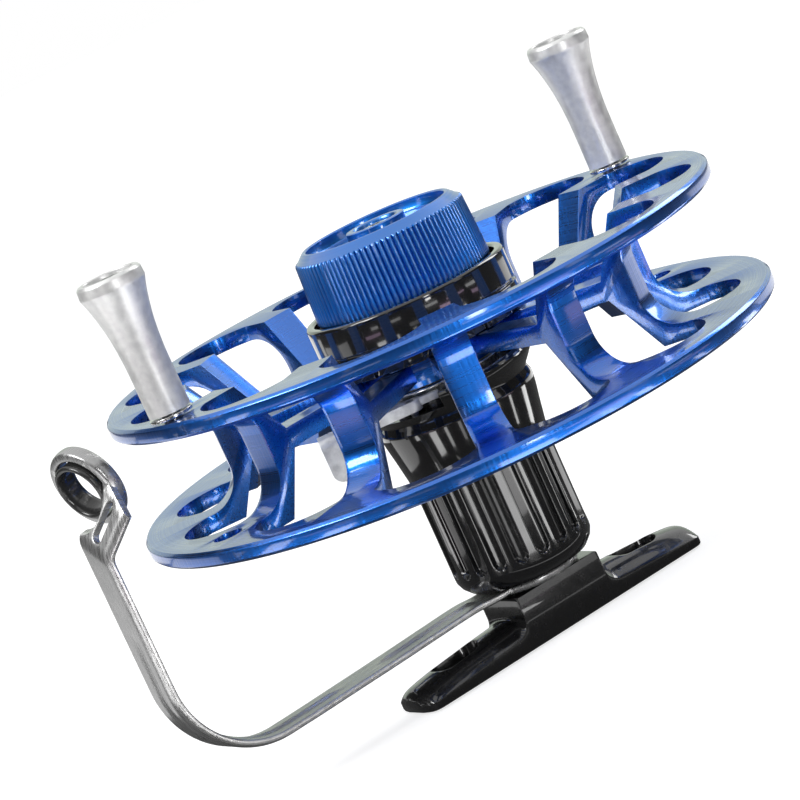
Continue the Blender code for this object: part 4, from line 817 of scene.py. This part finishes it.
# %% [markdown]
# ## The drag knob
# A knurling wheel presses about a hundred straight ribs into the knob, with round crests and narrow
# grooves. Each level of the knob is a ring of points, and a rib share says how deep the grooves are
# there. The rim above them is turned smooth, and the top is dished round a small boss.

# %% Knob
KNOB_RIBS = 97
KNOB_RIB_DEPTH = 0.45 * MM
KNOB_BASE = 58.2 * MM
FACES_PER_RIB = 8
RIB_CREST = 0.7


def knob_levels():
    """(radius, height, rib share) from the foot up, over the rim, into the dish and down inside."""
    ribbed = [(14.05, 0.0, 0.0), (14.35, 0.25, 0.6), (14.4, 0.5, 1.0), (14.28, 3.0, 1.0), (14.12, 6.5, 1.0),
              (13.95, 9.85, 1.0), (13.85, 10.1, 0.7)]
    smooth = [(13.6, 10.25), (13.45, 10.32), (12.3, 11.36), (12.1, 11.47), (11.95, 11.5), (11.75, 11.46),
              (11.6, 11.3), (11.6, 9.95), (11.4, 9.68), (10.9, 9.6), (6.4, 9.6), (5.0, 9.62), (4.85, 9.8),
              (4.8, 11.3), (4.65, 11.44), (4.3, 11.46), (3.75, 11.42), (3.6, 11.25), (3.5, 10.9),
              (3.5, 8.05), (12.6, 8.05), (12.6, 0.15), (12.75, 0.0)]
    return [(radius * MM, KNOB_BASE + height * MM, share)
            for radius, height, share in ribbed + [(*point, 0.0) for point in smooth]]


levels = knob_levels()


def knob_shape(radius, height, angle, number):
    """Cuts the grooves of the knurl."""
    crest = abs(math.cos(angle * KNOB_RIBS / 2))
    return radius - KNOB_RIB_DEPTH * levels[number][2] * (1 - crest ** RIB_CREST)


knob_mesh = revolve("knurled_knob", [level[:2] for level in levels], KNOB_RIBS * FACES_PER_RIB, knob_shape)
add_piece("knurled_knob", knob_mesh, knob_blue, "knob", ("drag_knob",), sharp=40.0)
print("knob faces:", len(knob_mesh.polygons))

# %% [markdown]
# ## The cup
# The cup round the foot of the knob is turned too, then a row of notches is milled into its lower
# tier. Its upper edge is polished round, which gives the bright line in the picture.

# %% Cup
CUP_BASE = 49.5 * MM
NOTCHES = 12
NOTCH_HEIGHT = 3.3 * MM
NOTCH = box_points(15.5, 17.5, -1.2, 1.2)


def cup_outline():
    """Outline of the cup with its web, groove and rounded rim."""
    points = [(15.05, 49.5), (16.4, 49.5), (16.4, 53.2), (15.9, 53.3), (15.9, 53.75), (16.5, 53.85),
              (16.5, 58.35), (16.2, 58.7), (15.3, 58.7), (15.05, 58.45), (15.05, 54.5), (8.3, 54.5),
              (8.3, 53.1), (15.05, 53.1)]
    return rounded(in_mm(points), 0.16 * MM, 3)


cup_mesh = revolve("lipped_cup", cup_outline(), 192)
notches = bmesh.new()
for number in range(NOTCHES):
    corners = turned_points(NOTCH, TURN * number / NOTCHES)
    prism(notches, corners, CUP_BASE - MM, CUP_BASE + NOTCH_HEIGHT)
cup_mesh = soften_edges(carve(cup_mesh, close_mesh("notches", notches)), 0.1 * MM, 2, 50.0)
add_piece("lipped_cup", cup_mesh, cup_black, "spool_assembly", ("drag_cup",))
print("cup faces:", len(cup_mesh.polygons))

# %% [markdown]
# ## Handles
# The two handles are turned from bar. The shape flares smoothly from a slim foot to a head with a
# straight band, and the end has a recess for the head of the screw on which the handle turns.

# %% Handles
HANDLE_BASE = 59.8 * MM
HANDLE_LENGTH = 21.8 * MM
HANDLE_TOP = HANDLE_BASE + HANDLE_LENGTH
HANDLE_FOOT = 3.25 * MM
HANDLE_HEAD = 5.15 * MM
HANDLE_BORE = 1.85 * MM
HANDLE_FLARE = ((0.0, 0.0), (0.12, 0.0), (0.35, 0.0), (0.5, 0.08), (0.62, 0.22), (0.74, 0.46),
                (0.84, 0.74), (0.91, 1.0))
WASHER_RING = box_points(1.9, 3.4, 59.0, 59.5)
CROSS_TURN = 0.4


def handle_outline():
    """Outline of a handle, from the bore out and over the head."""
    base, top = HANDLE_BASE, HANDLE_TOP
    sides = [(HANDLE_FOOT + (HANDLE_HEAD - HANDLE_FOOT) * grow, base + HANDLE_LENGTH * share)
             for share, grow in HANDLE_FLARE]
    start = [(HANDLE_BORE, base), (3.0 * MM, base), (3.05 * MM, base + 0.35 * MM)]
    band = [(HANDLE_HEAD, top - 1.75 * MM), (5.08 * MM, top - 0.5 * MM), (4.78 * MM, top - 0.08 * MM),
            (4.6 * MM, top), (4.2 * MM, top), (4.05 * MM, top - 0.15 * MM), (4.0 * MM, top - 1.7 * MM),
            (HANDLE_BORE, top - 1.7 * MM)]
    return rounded(start, 0.1 * MM, 2, False) + smooth_line(sides, 6) + rounded(band, 0.12 * MM, 2, False)


def screw_head_mesh(name, shank, head, base, top, under):
    """A low domed screw head on its shank, with a cross recess."""
    thick = top - under
    points = [(0, base), (shank, base), (shank, under), (head * 0.94, under), (head, under + head * 0.05),
              (head, under + thick * 0.45), (head * 0.86, top - thick * 0.16),
              (head * 0.55, top - thick * 0.03), (0, top)]
    mesh = revolve(name, points, 48, closed=False)
    long, thin = head * 0.5, head * 0.11
    quarter = [(long, -thin), (long, thin), (thin, thin)]
    star = [point for turn in range(4) for point in turned_points(quarter, turn * math.pi / 2)]
    cross = prism_mesh("cross", turned_points(star, CROSS_TURN), top - thick * 0.75, top + head)
    return soften_edges(carve(mesh, cross), 0.05 * MM, 1, 50.0)


washer_outline = rounded(WASHER_RING, 0.1 * MM)
for number, body_name, side in ((1, "handle_one", math.pi), (2, "handle_two", 0.0)):
    place = (*turned_points([(HANDLE_SPREAD, 0)], side + math.radians(SPOOL_TURN))[0], 0)
    handle_mesh = revolve(f"turned_handle_{number}", handle_outline(), 96)
    add_piece(f"turned_handle_{number}", handle_mesh, handle_silver, body_name,
              (f"handle_{number}",), place)
    post_mesh = screw_head_mesh(f"post_screw_{number}", 1.5 * MM, 2.9 * MM, SPOOL_TOP - FLANGE,
                                HANDLE_TOP - 0.4 * MM, HANDLE_TOP - 1.2 * MM)
    add_piece(f"post_screw_{number}", post_mesh, ground_steel, "spool_assembly",
              (f"handle_post_{number}",), place)
    washer_mesh = revolve(f"thin_washer_{number}", washer_outline, 64)
    add_piece(f"thin_washer_{number}", washer_mesh, bright_washer, "spool_assembly",
              (f"handle_washer_{number}",), place)
print("handles at", HANDLE_SPREAD, "m from the axis")

# %% [markdown]
# ## The fluted body
# The flutes are grooves with flat floors and round ends, milled into the lacquered cylinder. A
# distance to a slot-shaped line says how deep each point lies, so one dense turned surface holds all
# twenty flutes with crisp sides, without any cutting. Only the gate in the flare, through which the
# brake lever reaches out, and the hole for its pin are cut.

# %% Body
FLUTES = 20
FLUTE_HALF = 1.12 * MM
FLUTE_DEPTH = 0.8 * MM
FLUTE_LOW = 13.9 * MM
FLUTE_HIGH = 29.3 * MM
FLUTE_WALL = 0.28 * MM
FLUTED_FROM = 10.9 * MM
FACES_PER_FLUTE = 36
GATE_START, GATE_END = 170, 233
LEVER_PIVOT = (-9.977 * MM, -4.866 * MM, 0.0)
PIN_HOLE = 0.95 * MM


def flute_depth(radius, height, angle):
    """How deep the flutes lie at a point of the cylinder."""
    pitch = TURN / FLUTES
    aside = ((angle / pitch - 0.25 + 0.5) % 1.0 - 0.5) * pitch * radius
    beyond = max(FLUTE_LOW + FLUTE_HALF - height, height - FLUTE_HIGH + FLUTE_HALF, 0.0)
    inside = FLUTE_HALF - math.hypot(aside, beyond)
    share = max(0.0, min(1.0, inside / FLUTE_WALL))
    return FLUTE_DEPTH * share * share * (3 - 2 * share)


def body_shape(radius, height, angle, number):
    """The body's outside with its flutes."""
    if radius < FLUTED_FROM or height > FLUTE_HIGH + MM:
        return radius
    return radius - flute_depth(radius, height, angle)


def body_outline():
    """Outline of the body: base, fluted cylinder, head with collar and flare, and the cavity."""
    base = [(5.5, 10.3), (9.0, 10.3), (9.9, 10.55), (10.9, 11.6), (11.35, 12.6), (11.4, 13.2)]
    ends = [(11.4, 13.4 + step * 0.14) for step in range(16)]
    middle = [(11.4, 15.8 + step * 1.4) for step in range(9)]
    upper = [(11.4, 27.5 + step * 0.14) for step in range(15)]
    head = [(11.4, 29.9), (11.6, 30.3), (12.2, 34.1), (12.65, 36.6), (12.85, 38.1), (12.85, 39.0),
            (12.55, 39.75), (12.45, 40.1), (12.7, 40.6), (13.3, 41.3), (14.2, 42.5), (14.7, 43.1),
            (14.8, 43.5), (14.55, 43.8), (12.6, 43.8), (12.3, 43.5), (12.3, 41.4), (5.5, 41.4)]
    return in_mm(base + ends + middle + upper + head)


body_mesh = revolve("fluted_cylinder", body_outline(), FLUTES * FACES_PER_FLUTE, body_shape)
gate = (round_arc((0, 0), 15.8 * MM, GATE_START, GATE_END, 24)
        + round_arc((0, 0), 11.3 * MM, GATE_END, GATE_START, 24))
body_mesh = carve(body_mesh, prism_mesh("gate", gate, 41.4 * MM, 44.8 * MM))
pin_hole = prism_mesh("pin_hole", hole_points(LEVER_PIVOT[:2], PIN_HOLE), 38.8 * MM, 44.8 * MM)
body_mesh = carve(body_mesh, pin_hole)
add_piece("fluted_cylinder", body_mesh, body_black, "reel_frame", ("fluted_body",),
          sharp=32.0)
print("body faces:", len(body_mesh.polygons))

# %% [markdown]
# ## The foot
# The foot is a casting under thick lacquer. Its plan is a bar with round ends, its sides are flat, and
# its top is a low arch that ends in a crisp crease. One row of points across the top is enough: the
# stations along the foot say how wide, how high and how arched it is there, and a quarter circle
# leads from each wing up to the block.

# %% Foot surface
FOOT_HALF = 28.5 * MM
FOOT_SIDE = 5.5 * MM
FOOT_TOP = 8.5 * MM
FOOT_FILLET = 2.3 * MM
FOOT_BLOCKS = {-1: 7.6, 1: 9.0}
BLOCK_EDGE = 0.35 * MM
BLOCK_ARCH = 0.12 * MM
FULL_SHARE = 0.86
TOE = 0.25 * MM
SLOT_PLACE = 18.6 * MM
SLOT_TIERS = ((8.0, 3.6, -1.0), (9.0, 5.0, 2.8))


def foot_heights(along):
    """Half width, side height and arch at a place along the foot."""
    block = FOOT_BLOCKS[1 if along > 0 else -1] * MM
    reach = abs(along)
    if reach <= block:
        edge = max(0.0, reach - block + BLOCK_EDGE)
        drop = BLOCK_EDGE - math.sqrt(max(0.0, BLOCK_EDGE ** 2 - edge ** 2))
        return FOOT_SIDE, FOOT_TOP - drop - BLOCK_ARCH, BLOCK_ARCH
    share = (reach - block) / (FOOT_HALF - block)
    low = (2.75 - 1.5 * share) * MM
    arch = (5.2 - 1.1 * share - 0.8 * share ** 4) * MM - low
    inside = block + FOOT_FILLET - reach
    if inside > 0:
        low += FOOT_FILLET - math.sqrt(max(0.0, FOOT_FILLET ** 2 - inside ** 2))
        arch *= 1 - 0.85 * (inside / FOOT_FILLET) ** 3
    width = FOOT_SIDE
    bend = (reach - FULL_SHARE * FOOT_HALF) / (0.14 * FOOT_HALF)
    if bend > 0:
        width *= max(0.1, 1 - bend ** 6) ** 0.33
        arch *= 1 - 0.3 * bend ** 8
        low -= 0.3 * MM * bend ** 8
    return width, low, arch


def foot_places():
    """Stations along the foot, close together at the fillets and the tips."""
    places = []
    for direction, block in FOOT_BLOCKS.items():
        wing = [block + 0.001]
        wing += [block + 2.3 * (step / 14) ** 1.6 for step in range(1, 15)]
        wing += [block + 2.3 + (23.0 - block - 2.3) * step / 14 for step in range(1, 15)]
        wing += [28.5 - 5.5 * (1 - step / 22) ** 1.7 for step in range(1, 23)]
        flat = [block - 0.35 * math.cos(math.pi / 2 * step / 5) for step in range(5, -1, -1)]
        places += [direction * value * MM for value in flat + wing]
    return sorted(set(places))


def foot_mesh():
    """Skin of the foot from end to end."""
    rows = []
    for along in foot_places():
        width, low, arch = foot_heights(along)
        points = [(-width + TOE, 0.0), (-width, TOE), (-width, low)]
        for step in range(1, 20):
            across = -1 + step / 10
            points.append((width * across, low + arch * (1 - across ** 2)))
        points += [(width, low), (width, TOE), (width - TOE, 0.0)]
        rows.append([(along, y, z) for y, z in points])
    return skin_mesh("lacquered_foot", rows)


def slot_points(length, width):
    """A slot with round ends, round its own middle."""
    reach = (length - width) / 2
    return (round_arc((reach, 0), width / 2, -90, 90, 16)
            + round_arc((-reach, 0), width / 2, 90, 270, 16))


foot_skin = foot_mesh()
for side in (-1, 1):
    for length, width, base in SLOT_TIERS:
        points = [(x + side * SLOT_PLACE, y) for x, y in slot_points(length * MM, width * MM)]
        foot_skin = carve(foot_skin, prism_mesh("foot_slot", points, base * MM, 9.5 * MM))
points = [(x + 6.55 * MM, y) for x, y in slot_points(3.3 * MM, 3.2 * MM)]
foot_skin = carve(foot_skin, prism_mesh("keyway", points, 7.8 * MM, 9.5 * MM))
foot_skin = soften_edges(foot_skin, 0.16 * MM, 2, 38.0)
add_piece("lacquered_foot", foot_skin, foot_black, "reel_frame", ("mounting_foot",),
          sharp=44.0)
print("foot faces:", len(foot_skin.polygons))

# %% [markdown]
# ## The guide arm
# One strip of stainless steel makes the arm. A press gives it a stiffening bead, bends it up in a
# wide curve and folds its end into a slotted head. A strip has two edges, so each station holds a
# point on the far edge, a point on the near edge and the way that its inner side looks.

# %% Arm strip
ARM_LOW = 9.4 * MM
ARM_REACH = 64.6 * MM
ARM_BEND = 14.4 * MM
CHAMFER_WIDTH = 0.95 * MM
CHAMFER_RISE = 0.45 * MM
HEAD_WAY = Vector((0.509, -0.537, 0.673)).normalized()
HEAD_LENGTHS = (10.8 * MM, 7.45 * MM)
ARM_HALF = 3.25 * MM
KNEES = (Vector((-ARM_REACH, ARM_HALF, 48.6 * MM)), Vector((-ARM_REACH, -ARM_HALF, 44.6 * MM)))
KNEE_ROUND = 1.3 * MM
BEAD_END = 1.6 * MM
BEAD_HALF = 1.15 * MM
BEAD_HEIGHT = 0.35 * MM


def bead_share(place, start, end):
    """How far the bead is pressed at a place between its two ends."""
    share = min(place - start, end - place) / BEAD_END
    share = max(0.0, min(1.0, share))
    return share * share * (3 - 2 * share)


def flat_stations():
    """The strip from the clamped eye to the end of the wide curve."""
    line = [(3.5, 0.0), (9.5, 0.0), (13.5, 0.25), (21.0, 0.06), (29.1, -0.18), (38.2, -0.39), (44.0, -0.52),
            (50.2, -0.6)]
    stations = []
    for reach, rise in smooth_line(line, 6):
        bead = max(bead_share(reach * MM, 11.2 * MM, 30.6 * MM), bead_share(reach * MM, 38.4 * MM, 90 * MM))
        stations.append((Vector((-reach * MM, 0, ARM_LOW + rise * MM)), Vector((0, 0, 1)), bead))
    corner = Vector((-50.2 * MM, 0, ARM_LOW - 0.6 * MM + ARM_BEND))
    for step in range(1, 25):
        angle = math.pi / 2 * step / 24
        spoke = Vector((-math.sin(angle), 0, -math.cos(angle)))
        stations.append((corner + spoke * ARM_BEND, -spoke, 1.0))
    return stations


def arm_stations():
    """Far edge, near edge, inner side and bead share from the eye to the head."""
    stations = []
    for place, inner, bead in flat_stations():
        half = (7.6 - 1.1 * -place.x / ARM_REACH) * MM / 2
        across = Vector((0, half, 0))
        stations.append((place + across, place - across, inner, bead))
    rise = stations[-1][0].z
    inward = Vector((1, 0, 0))
    for step in range(1, 13):
        share = step / 12
        far, near = [rise + (knee.z - KNEE_ROUND - rise) * share for knee in KNEES]
        stations.append((Vector((-ARM_REACH, ARM_HALF, far)), Vector((-ARM_REACH, -ARM_HALF, near)),
                         inward, bead_share(near, 0.0, 31.4 * MM)))
    face = (KNEES[1] - KNEES[0]).cross(HEAD_WAY).normalized() * -1
    for step in range(1, 9):
        share = step / 8
        row = []
        for knee in KNEES:
            below, above = knee - Vector((0, 0, KNEE_ROUND)), knee + HEAD_WAY * KNEE_ROUND
            row.append(below.lerp(knee, share).lerp(knee.lerp(above, share), share))
        stations.append((*row, inward.lerp(face, share).normalized(), 0.0))
    for step in range(1, 7):
        share = step / 6
        row = [knee + HEAD_WAY * (KNEE_ROUND + (length - KNEE_ROUND) * share)
               for knee, length in zip(KNEES, HEAD_LENGTHS)]
        stations.append((*row, face, 0.0))
    return stations


def strip_loop(width, bead):
    """Section of the strip: (distance from the far edge, out of the middle)."""
    skin, edge = 0.6 * MM, 0.32 * MM
    top, bottom = [], []
    for step in range(15):
        across = edge + (width - edge - 0.15 * MM) * step / 14
        aside = abs(across - width / 2) / BEAD_HALF
        lift = BEAD_HEIGHT * bead * (math.cos(min(1.0, aside) * math.pi) + 1) / 2
        top.append((across, skin + lift))
        beyond = max(0.0, across - (width - CHAMFER_WIDTH)) / CHAMFER_WIDTH
        bottom.append((across, lift - skin + CHAMFER_RISE * beyond))
    far = [(edge - edge * math.cos(a), (skin - edge) * s + edge * math.sin(a))
           for a, s in ((math.radians(60), 1), (math.radians(25), 1), (math.radians(-25), -1),
                        (math.radians(-60), -1))]
    near = [(width - 0.1 * MM, skin - 0.04 * MM), (width, skin - 0.16 * MM), (width, 0.0),
            (width - 0.12 * MM, -0.06 * MM), (width - 0.02 * MM, CHAMFER_RISE - skin + 0.02 * MM)]
    return bottom + near[::-1] + top[::-1] + far


def strip_mesh():
    """The whole strip, from the clamped end to the head."""
    rows = []
    for far, near, inner, bead in arm_stations():
        width = (near - far).length
        along = (near - far).normalized()
        rows.append([far + along * across + inner * out for across, out in strip_loop(width, bead)])
    return skin_mesh("pressed_arm", rows)


def plug(name, radius, base, top):
    """A round cutter, written in millimetres."""
    return revolve(name, box_points(0, radius, base, top), 96, closed=False)


eye = revolve("arm_eye", rounded(box_points(3.5, 7.7, 8.8, 10.0), 0.45 * MM, 5), 128)
arm_skin = carve(strip_mesh(), eye, "UNION")
far, near, face = arm_stations()[-1][:3]
middle = (far + near + KNEES[0] + KNEES[1]) / 4
across = face.cross(HEAD_WAY)
slot_mesh = prism_mesh("head_slot", slot_points(7.0 * MM, 2.0 * MM), -3 * MM, 3 * MM)
slot_mesh.transform(Matrix.Translation(middle) @ Matrix((HEAD_WAY, across, face)).transposed().to_4x4())
arm_skin = carve(arm_skin, slot_mesh)
arm_skin = carve(arm_skin, plug("eye_bore", 3.5, 7.8, 11))
print("arm faces:", len(arm_skin.polygons))

# %% [markdown]
# The guide eye is rolled from the same steel, so its rim is round, and a hard dark insert is pressed
# into it. The insert stands out a little on the side where the line runs in.

# %% Guide eye
EYE_PLACE = Vector((-60.1, 2.5, 54.9)) * MM
EYE_TURN, EYE_TILT = 12, -12
RIM_POINTS = ((4.95, -1.1), (5.3, -1.32), (6.0, -1.2), (6.4, -0.8), (6.5, 0.0), (6.45, 0.8), (6.25, 1.2),
              (5.3, 1.38), (5.15, 1.3), (4.95, 1.0))
INSERT_POINTS = ((3.95, -1.5), (4.3, -1.45), (4.56, -1.1), (4.56, 1.4), (4.7, 1.5), (4.72, 1.9),
                 (4.6, 2.15), (4.3, 2.3), (3.95, 2.2), (3.75, 1.75), (3.65, 0.9), (3.65, -0.8))
outward = Vector((-1, 0, 0))
outward.rotate(Matrix.Rotation(math.radians(EYE_TURN), 4, "Z"))
level_way = outward.cross(Vector((0, 0, 1))).normalized()
outward.rotate(Matrix.Rotation(math.radians(EYE_TILT), 4, level_way))
eye_turn = Matrix.Translation(EYE_PLACE) @ outward.to_track_quat("Z", "Y").to_matrix().to_4x4()
rim_mesh = revolve("rolled_rim", rounded(in_mm(RIM_POINTS), 0.2 * MM, 2), 128)
eye_clear = plug("eye_clear", 4.88, -6, 6)
insert_mesh = revolve("hard_insert", rounded(in_mm(INSERT_POINTS), 0.25 * MM, 3), 128)
for mesh in (rim_mesh, eye_clear, insert_mesh):
    mesh.transform(eye_turn)
arm_skin = carve(arm_skin, rim_mesh, "UNION")
arm_skin = soften_edges(carve(arm_skin, eye_clear), 0.1 * MM, 2, 50.0)
add_piece("pressed_arm", arm_skin, arm_stainless, "reel_frame", ("guide_arm",), sharp=40.0)
add_piece("hard_insert", insert_mesh, insert_dark, "reel_frame", ("guide_ring",))
print("eye faces:", len(rim_mesh.polygons) + len(insert_mesh.polygons))

# %% [markdown]
# ## The brake lever
# The lever is cast, so its skin is grainy. It is a flat plate with the finger tab folded down from
# its edge, and a block under the plate thickens it round the pivot.

# %% Lever
LEVER_TOP = 43.6 * MM
LEVER_THICK = 1.2 * MM
LEVER_TURN = 152.1
LEVER_NOSE = 4.6 * MM
LEVER_BOSS = 1.65 * MM
LEVER_BLOCK = 1.57 * MM
TAB_NEAR, TAB_FAR, TAB_EDGE = 10.0 * MM, 15.2 * MM, -1.1 * MM
TAB_BEND = 0.4 * MM
TAB_CORNER = 1.7 * MM
TAB_DROP = 7.2 * MM


def lever_outline():
    """The plate seen from above: nose, boss, bar and the edge that carries the tab."""
    nose, boss = LEVER_NOSE, LEVER_BOSS
    points = [(-nose, 0.33 * MM), (-nose * 0.74, 0.347 * MM)]
    points += round_arc((0, 0), boss, 212, 270, 8)
    points += [(2.88 * MM, -3.9 * MM), (TAB_FAR, -3.9 * MM), (TAB_FAR, TAB_EDGE), (TAB_NEAR, TAB_EDGE),
               (8.8 * MM, -0.22 * MM), (7.4 * MM, boss * 0.85)]
    points += round_arc((0, 0), boss, 75, 150, 8)
    return points + [(-nose * 0.98, 0.95 * MM)]


def lever_tab():
    """The finger tab: a quarter bend from the plate's edge, then down to round corners."""
    near, far, bend = TAB_NEAR, TAB_FAR, TAB_EDGE
    inner, outer = TAB_BEND, TAB_BEND + LEVER_THICK
    base = LEVER_TOP - LEVER_THICK
    root = bend - 0.5 * MM
    rows = [[(near, root, base), (near, root, LEVER_TOP), (far, root, LEVER_TOP), (far, root, base)]]
    quarter = [math.pi / 2 * step / 12 for step in range(13)]
    for angle in quarter:
        rows.append([(x, bend + reach * math.sin(angle), base - inner + reach * math.cos(angle))
                     for x, reach in ((near, inner), (near, outer), (far, outer), (far, inner))])
    for angle in quarter:
        inset = TAB_CORNER * (1 - math.cos(angle))
        height = LEVER_TOP - TAB_DROP + TAB_CORNER * (1 - math.sin(angle))
        rows.append([(near + inset, bend + inner, height), (near + inset, bend + outer, height),
                     (far - inset, bend + outer, height), (far - inset, bend + inner, height)])
    return skin_mesh("lever_tab", rows)


plate = prism_mesh("cast_lever", lever_outline(), LEVER_TOP - LEVER_THICK, LEVER_TOP)
lever_mesh = carve(plate, lever_tab(), "UNION")
block = round_arc((0, 0), LEVER_BLOCK, 90, 270, 16) + [(6.4 * MM, -LEVER_BLOCK), (6.4 * MM, 1.32 * MM)]
block_mesh = prism_mesh("lever_block", block, LEVER_TOP - 1.7 * MM, LEVER_TOP - 0.6 * MM)
lever_mesh = carve(lever_mesh, block_mesh, "UNION")
hole_mesh = prism_mesh("lever_hole", hole_points((0, 0), PIN_HOLE), LEVER_TOP - 3 * MM, LEVER_TOP + MM)
lever_mesh = soften_edges(carve(lever_mesh, hole_mesh), 0.14 * MM, 3, 40.0)
lever_mesh.transform(Matrix.Rotation(math.radians(LEVER_TURN), 4, "Z"))
add_piece("cast_lever", lever_mesh, lever_silver, "lever", ("brake_lever",), LEVER_PIVOT)
print("lever faces:", len(lever_mesh.polygons))

# %% Washer under the hub and screw in the knob
hub_ring = rounded(box_points(8.3, 10.5, 44.2, 44.6), 0.12 * MM, 3)
add_piece("thin_hub_washer", revolve("thin_hub_washer", hub_ring, 128), bright_washer, "spool_assembly",
          ("hub_washer",))
end_screw = screw_head_mesh("boss_screw", 1.2 * MM, 2.6 * MM, 64.4 * MM, 69.3 * MM, 68.4 * MM)
add_piece("boss_screw", end_screw, bright_washer, "reel_frame", ("shaft_end_screw",))
print("small pieces made")
